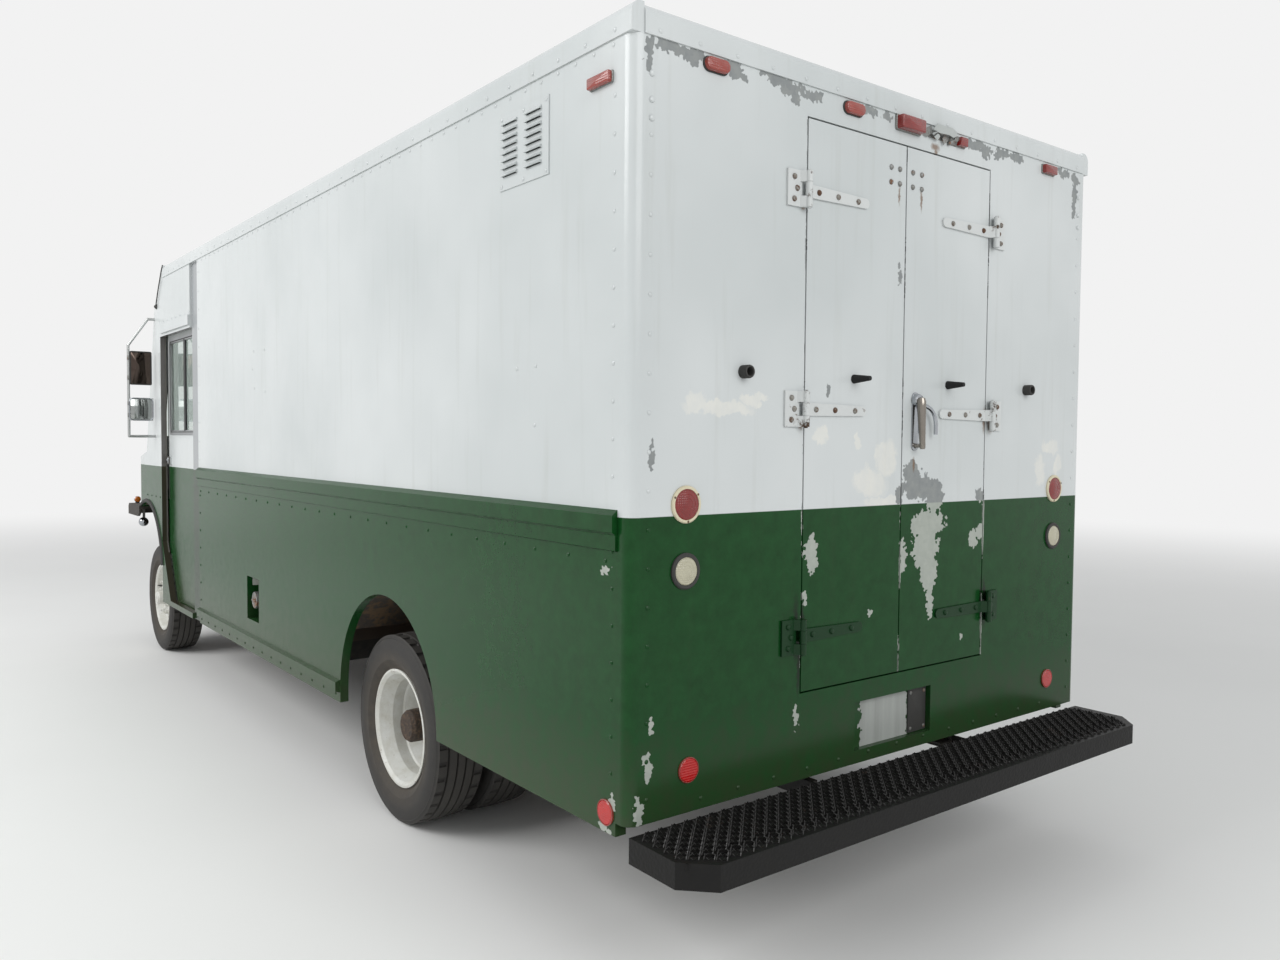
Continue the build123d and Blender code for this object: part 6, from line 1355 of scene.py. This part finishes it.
# Nose: hood handle and catches, grille screws, bumper bolts

catch = tablet(0.040, 0.075, 0.006, 0.006, 0.0015)
catch_bar = bar(0.016, 0.060, 0.008, 0.002)
catch_places = both(stand((NOSE_FACE, 0.560, 1.330), FRONT))
piece("hood_catches", "hood", (catch, zinc_steel, catch_places),
      (catch_bar, zinc_steel, [moved(p, 0, 0, 0.009) for p in catch_places]), slot="hardware")
grille_screws = both(*[stand((NOSE_FACE, y, z), FRONT) for y in (0.42, 0.21) for z in (0.870, 1.190)])
piece("nose_fixings", "truck_body", (rivet, zinc_steel, grille_screws), slot="hardware")
sunk_bolt = turned([(0.018, -0.004), (0.018, -0.0025), (0.012, -0.0008), (0.0, -0.0004)], steps=16)
bumper_bolts = both(*[stand((station(7159.5), 0.400, z), FRONT) for z in (0.53, 0.64)])
piece("bumper_bolts", "truck_body", (sunk_bolt, zinc_steel, bumper_bolts), slot="hardware")


# Serving hatch: twist latches, edge trim and rain strip

HATCH_X = station(3250)
latch_base = tablet(0.060, 0.040, 0.004, 0.006, 0.001)
tee = turned([(0.009, 0.0), (0.009, 0.010), (0.0, 0.011)], steps=14)
tee_bar = bar(0.052, 0.012, 0.008, 0.002)
hatch_latches = [across(stand((station(x), HALF, 1.610), LEFT)) for x in (2700, 3800)]
trim = tablet(1.786, 0.916, 0.003, 0.010, 0.001, border=0.024)
piece("hatch_fittings", "serving_hatch", (latch_base, zinc_steel, hatch_latches),
      (tee, zinc_steel, hatch_latches), (tee_bar, zinc_steel, [moved(p, 0, 0, 0.012) for p in hatch_latches]),
      (trim, aluminium, [across(stand((HATCH_X, HALF, 2.025), LEFT))]), slot="hardware")
rain = bar(1.90, 0.006, 0.016, 0.002)
rain_leg = bar(1.90, 0.022, 0.003, 0.001)
rain_at = across(stand((HATCH_X, HALF + 0.008, 2.612), LEFT))
piece("hatch_rain_strip", "truck_body", (rain, aluminium, [rain_at]),
      (rain_leg, aluminium, [moved(rain_at, 0, 0.010, -0.0065)]), slot="trim_metal")


# Fuel filler cap with its wing

cap_rim = turned([
    (0.0485, -0.014), (0.0485, -0.004), (0.0460, 0.0015), (0.0400, 0.0030), (0.0370, 0.0010),
    (0.0120, 0.0010), (0.0, 0.0015),
], steps=40)
wing = bar(0.062, 0.012, 0.012, 0.003)
cap_at = stand((station(3610), 1.2355, 0.768), LEFT)
piece("fuel_cap", "truck_body", (cap_rim, zinc_steel, [cap_at]),
      (wing, zinc_steel, [moved(cap_at, 0, 0, 0.004)]), slot="hardware")


# Inside: posts and bows of the load body, instruments, pedals and seat

def post(low, high):
    """A hat-section post, open side to the skin, standing on Y = low to high."""
    bm = bmesh.new()
    hat = ((-0.040, 0.0), (-0.020, 0.0), (-0.018, 0.030), (0.018, 0.030), (0.020, 0.0), (0.040, 0.0))
    chain = [bm.verts.new((x, low, z)) for x, z in hat]
    edges = [bm.edges.new(p) for p in zip(chain, chain[1:])]
    new = bmesh.ops.extrude_edge_only(bm, edges=edges)["geom"]
    tops = [v for v in new if isinstance(v, bmesh.types.BMVert)]
    bmesh.ops.translate(bm, vec=(0, high - low, 0), verts=tops)
    bmesh.ops.recalc_face_normals(bm, faces=bm.faces)
    bmesh.ops.solidify(bm, geom=bm.faces[:], thickness=0.002)
    return as_mesh(bm)


# Posts end at the roof; over a wheel house they start higher, and the hatch interrupts them.
POST_FOOT, POST_TOP = FLOOR_TOP + 0.001, 2.895
for hand, side in SIDES:
    shapes = []
    for x in POST_STATIONS:
        spans = [(1.065 if 1.20 < x < 2.30 else POST_FOOT, POST_TOP)]
        if side < 0 and 2.30 < x < 4.20:
            spans = [(POST_FOOT, 1.290), (2.500, POST_TOP)]
        wall = handed(side, stand((x - MIDDLE, HALF - 0.0405, 0), RIGHT))
        shapes += [(post(low, high), aluminium, [wall]) for low, high in spans]
    piece(f"wall_posts_{hand}", "truck_body", *shapes, slot="trim_metal")
bow = bmesh.new()
bmesh.ops.create_cube(bow, size=1)
bmesh.ops.scale(bow, vec=(0.040, 2.38, 0.026), verts=bow.verts)
lengthwise = [e for e in bow.edges if abs(e.verts[0].co.y - e.verts[1].co.y) > 1]
bmesh.ops.subdivide_edges(bow, edges=lengthwise, cuts=16, use_grid_fill=True)
for v in bow.verts:
    v.co.z += 0.050 * (1 - (v.co.y / 1.205) ** 2)
bows = [Matrix.Translation((x - MIDDLE, 0, 2.885)) for x in POST_STATIONS]
piece("roof_bows", "truck_body", (as_mesh(bow), aluminium, bows), slot="trim_metal")

DASH_SLOPE, DASH_UP = Vector((-1, 0, 1)).normalized(), Vector((1, 0, 1)).normalized()
big_dial = turned([(0.052, 0.0), (0.052, 0.008), (0.048, 0.010), (0.045, 0.006), (0.0, 0.005)], steps=36)
small_dial = turned([(0.030, 0.0), (0.030, 0.007), (0.027, 0.009), (0.025, 0.005), (0.0, 0.0045)], steps=28)
needle = bar(0.003, 0.036, 0.0012, 0.0004)
dials, little = ([stand((station(6120), y, 1.5205), DASH_SLOPE, DASH_UP) for y in ys]
                 for ys in ((0.500, 0.620), (0.395, 0.725, 0.800)))
needles = [moved(p, 0.008, 0.012, 0.0072) @ Matrix.Rotation(-0.6, 4, "Z") for p in dials]
knob = turned([(0.010, 0.0), (0.010, 0.014), (0.008, 0.018), (0.0, 0.018)], steps=14)
DASH_FACE, CONTROLS_Z = station(6080), 1.400
knobs = [stand((DASH_FACE, y, CONTROLS_Z), REAR) for y in (0.28, 0.34, 0.40, 0.76, 0.82)]
heater = tablet(0.260, 0.070, 0.006, 0.010, 0.002, border=0.010)
louvre = bar(0.240, 0.004, 0.008, 0.001)
vent_at = stand((DASH_FACE, 0.0, CONTROLS_Z), REAR)
piece("instruments", "truck_body", (big_dial, chrome, dials), (small_dial, chrome, little),
      (turned([(0.0445, 0.0), (0.0445, 0.0062), (0.0, 0.0064)], steps=32), dial_face, dials),
      (turned([(0.0245, 0.0), (0.0245, 0.0052), (0.0, 0.0054)], steps=24), dial_face, little),
      (needle, cream_plastic, needles),
      (knob, black_rubber, knobs), (heater, black_rubber, [vent_at]),
      (louvre, black_rubber, [moved(vent_at, 0, dy, 0.003) for dy in (-0.018, -0.006, 0.006, 0.018)]),
      slot="dark_plastic")
pads_at = ((6085, 0.70, 1.010), (6085, 0.57, 1.010), (6120, 0.44, 0.960))
pads = [stand((station(x), y, z), (-0.8, 0, 0.55)) for x, y, z in pads_at]
pedal = tablet(0.075, 0.062, 0.010, 0.010, 0.003)
# Arms as (station, height) points: two hang from the cowl, and the third is hinged on the floor.
HANGING = ((6090, 1.010), (6180, 1.120), (6190, 1.300))
FLOOR_HINGED = ((6130, 0.960), (6200, 0.900), (6210, 0.862))
arms = [wire([(station(x), y, z) for x, z in bends], radius)
        for y, bends, radius in ((0.70, HANGING, 0.008), (0.57, HANGING, 0.008), (0.44, FLOOR_HINGED, 0.007))]
piece("pedals", "truck_body", (pedal, black_rubber, pads), *[(a, chassis_black, STILL) for a in arms],
      slot="dark_plastic")


def stuffed(name, size, place, limit):
    """A foam pad in vinyl: swollen by cloth pressure from a smaller block, with stitched channels pressed
    into its face.
    """
    bm = bmesh.new()
    bmesh.ops.create_cube(bm, size=1)
    bmesh.ops.scale(bm, vec=size, verts=bm.verts)
    bmesh.ops.bevel(bm, geom=bm.edges[:], affect="EDGES", offset=0.020, segments=3, profile=0.5, material=-1)
    mesh = bpy.data.meshes.new(name)
    bm.to_mesh(mesh)
    bm.free()
    pad = bpy.data.objects.new(name, mesh)
    bpy.context.scene.collection.objects.link(pad)

    def settle():
        bpy.context.view_layer.update()
        final = bpy.data.meshes.new_from_object(pad.evaluated_get(bpy.context.evaluated_depsgraph_get()))
        pad.modifiers.clear()
        pad.data = final

    remesh = pad.modifiers.new("even_skin", "REMESH")
    remesh.mode = "VOXEL"
    remesh.voxel_size = 0.006
    settle()
    rest = [v.co.copy() for v in pad.data.vertices]
    cloth = pad.modifiers.new("foam", "CLOTH")
    cloth.settings.use_pressure = True
    cloth.settings.uniform_pressure_force = 4.0
    cloth.settings.effector_weights.gravity = 0.0
    cloth.settings.quality = 5
    for frame_number in range(1, 21):
        bpy.context.scene.frame_set(frame_number)
    settle()
    bpy.context.scene.frame_set(1)
    for v, was in zip(pad.data.vertices, rest):
        move = v.co - was
        if move.length > limit:
            v.co = was + move * (limit / move.length)
    smooth = pad.modifiers.new("finer_skin", "SUBSURF")
    smooth.levels = smooth.render_levels = 1
    settle()
    # Stitched channels pressed into the face, 75 mm apart, run fore and aft.
    for v in pad.data.vertices:
        if v.co.z > 0 and abs(v.co.x) < size[0] / 2 - 0.04 and abs(v.co.y) < size[1] / 2 - 0.03:
            off = abs((v.co.y + 0.0375) % 0.075 - 0.0375)
            v.co.z -= 0.006 * max(0.0, 1 - off / 0.012) ** 1.5
    pad.data.transform(place)
    pad.data.polygons.foreach_set("use_smooth", [True] * len(pad.data.polygons))
    pad.data.materials.clear()
    pad.data.materials.append(vinyl)
    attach(pad, "truck_body")
    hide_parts("seat_cushion")


SEAT_Y = 0.560
stuffed("seat_pad", (0.452, 0.432, 0.086), Matrix.Translation((station(5485), SEAT_Y, 1.3165)), 0.010)
upright = Matrix.Rotation(math.radians(-10), 4, "Y") @ Matrix.Rotation(math.pi / 2, 4, "Y")
back_at = Matrix.Translation((station(5240), SEAT_Y, 1.640)) @ upright
stuffed("seat_backrest", (0.542, 0.422, 0.070), back_at, 0.009)


# Camera, floor and light

# Place, turn and lens were solved from the corners of the body in the photograph.
camera_data = bpy.data.cameras.new("camera")
camera_data.lens = 28.14
camera_data.sensor_width = 36
camera_data.clip_end = 200
camera = bpy.data.objects.new("camera", camera_data)
bpy.context.scene.collection.objects.link(camera)
yaw, pitch, roll = -0.6573, -0.0402, 0.0079
ahead = Vector((math.cos(pitch) * math.cos(yaw), math.cos(pitch) * math.sin(yaw), math.sin(pitch)))
level = Vector((math.sin(yaw), -math.cos(yaw), 0))
above = level.cross(ahead)
right = level * math.cos(roll) + above * math.sin(roll)
top = above * math.cos(roll) - level * math.sin(roll)
turn = Matrix((right, top, -ahead)).transposed().to_4x4()
camera.matrix_world = Matrix.Translation((-5.739, 2.994, 1.714)) @ turn
bpy.context.scene.camera = camera

BACKDROP = "#F2F2F2"
ground = bmesh.new()
bmesh.ops.create_circle(ground, cap_ends=True, segments=96, radius=60)
ground_mesh = as_mesh(ground)
if ground_mesh.polygons[0].normal.z < 0:
    ground_mesh.flip_normals()
# White paper floor; far out it glows as bright as the backdrop, so no horizon shows.
paper, tree, place = new_finish("pale_floor")
mottle = node(tree, "TexNoise", {"Vector": place, "Scale": 0.6, "Detail": 3.0})
tone = node(tree, "Mix", {0: mottle, 6: linear("#F0F0EE"), 7: linear("#EAEAE8")}, **COLOURS)
sheet = node(tree, "BsdfPrincipled", {
    "Base Color": tone, "Roughness": 0.9, "Specular IOR Level": 0.2,
    "Normal": node(tree, "Bump", {"Height": mottle, "Distance": 0.0005, "Strength": 1.0}),
})
glow = node(tree, "Emission", {"Color": linear(BACKDROP), "Strength": 1.0})
reach = node(tree, "VectorMath", {0: place}, out="Value", operation="LENGTH")
reach = node(tree, "MapRange", {"Value": reach, "From Min": 6.5, "From Max": 20.0},
             interpolation_type="SMOOTHSTEP")
node(tree, "OutputMaterial", {"Surface": node(tree, "MixShader", {0: reach, 1: sheet, 2: glow})})
ground_mesh.materials.append(paper)
ground_object = bpy.data.objects.new("floor_plane", ground_mesh)
bpy.context.scene.collection.objects.link(ground_object)

world = bpy.data.worlds.new("studio")
world.use_nodes = True
world.node_tree.nodes.clear()
tree = world.node_tree
rays = node(tree, "LightPath").node
seen = node(tree, "Math", {0: rays.outputs["Is Camera Ray"], 1: rays.outputs["Is Glossy Ray"]},
            operation="MAXIMUM")
seen = node(tree, "Math", {0: seen, 1: rays.outputs["Is Transmission Ray"]}, operation="MAXIMUM")
light = node(tree, "Background", {"Color": linear("#F4F6F8"), "Strength": 0.62})
back = node(tree, "Background", {"Color": linear(BACKDROP), "Strength": 1.0})
node(tree, "OutputWorld", {"Surface": node(tree, "MixShader", {0: seen, 1: light, 2: back})})
bpy.context.scene.world = world


def softbox(name, at, toward, size, watts):
    lamp_data = bpy.data.lights.new(name, "AREA")
    lamp_data.shape = "RECTANGLE"
    lamp_data.size, lamp_data.size_y = size
    lamp_data.energy = watts
    lamp = bpy.data.objects.new(name, lamp_data)
    lamp.location = at
    lamp.rotation_euler = (Vector(toward) - Vector(at)).to_track_quat("-Z", "Y").to_euler()
    bpy.context.scene.collection.objects.link(lamp)


softbox("key", (2.0, 11.0, 8.0), (0.0, 0.5, 1.2), (9.0, 6.0), 950)
softbox("fill_behind", (-12.0, 1.0, 6.0), (-1.0, 0.0, 1.2), (8.0, 5.0), 420)

bpy.context.scene.view_settings.view_transform = "Standard"
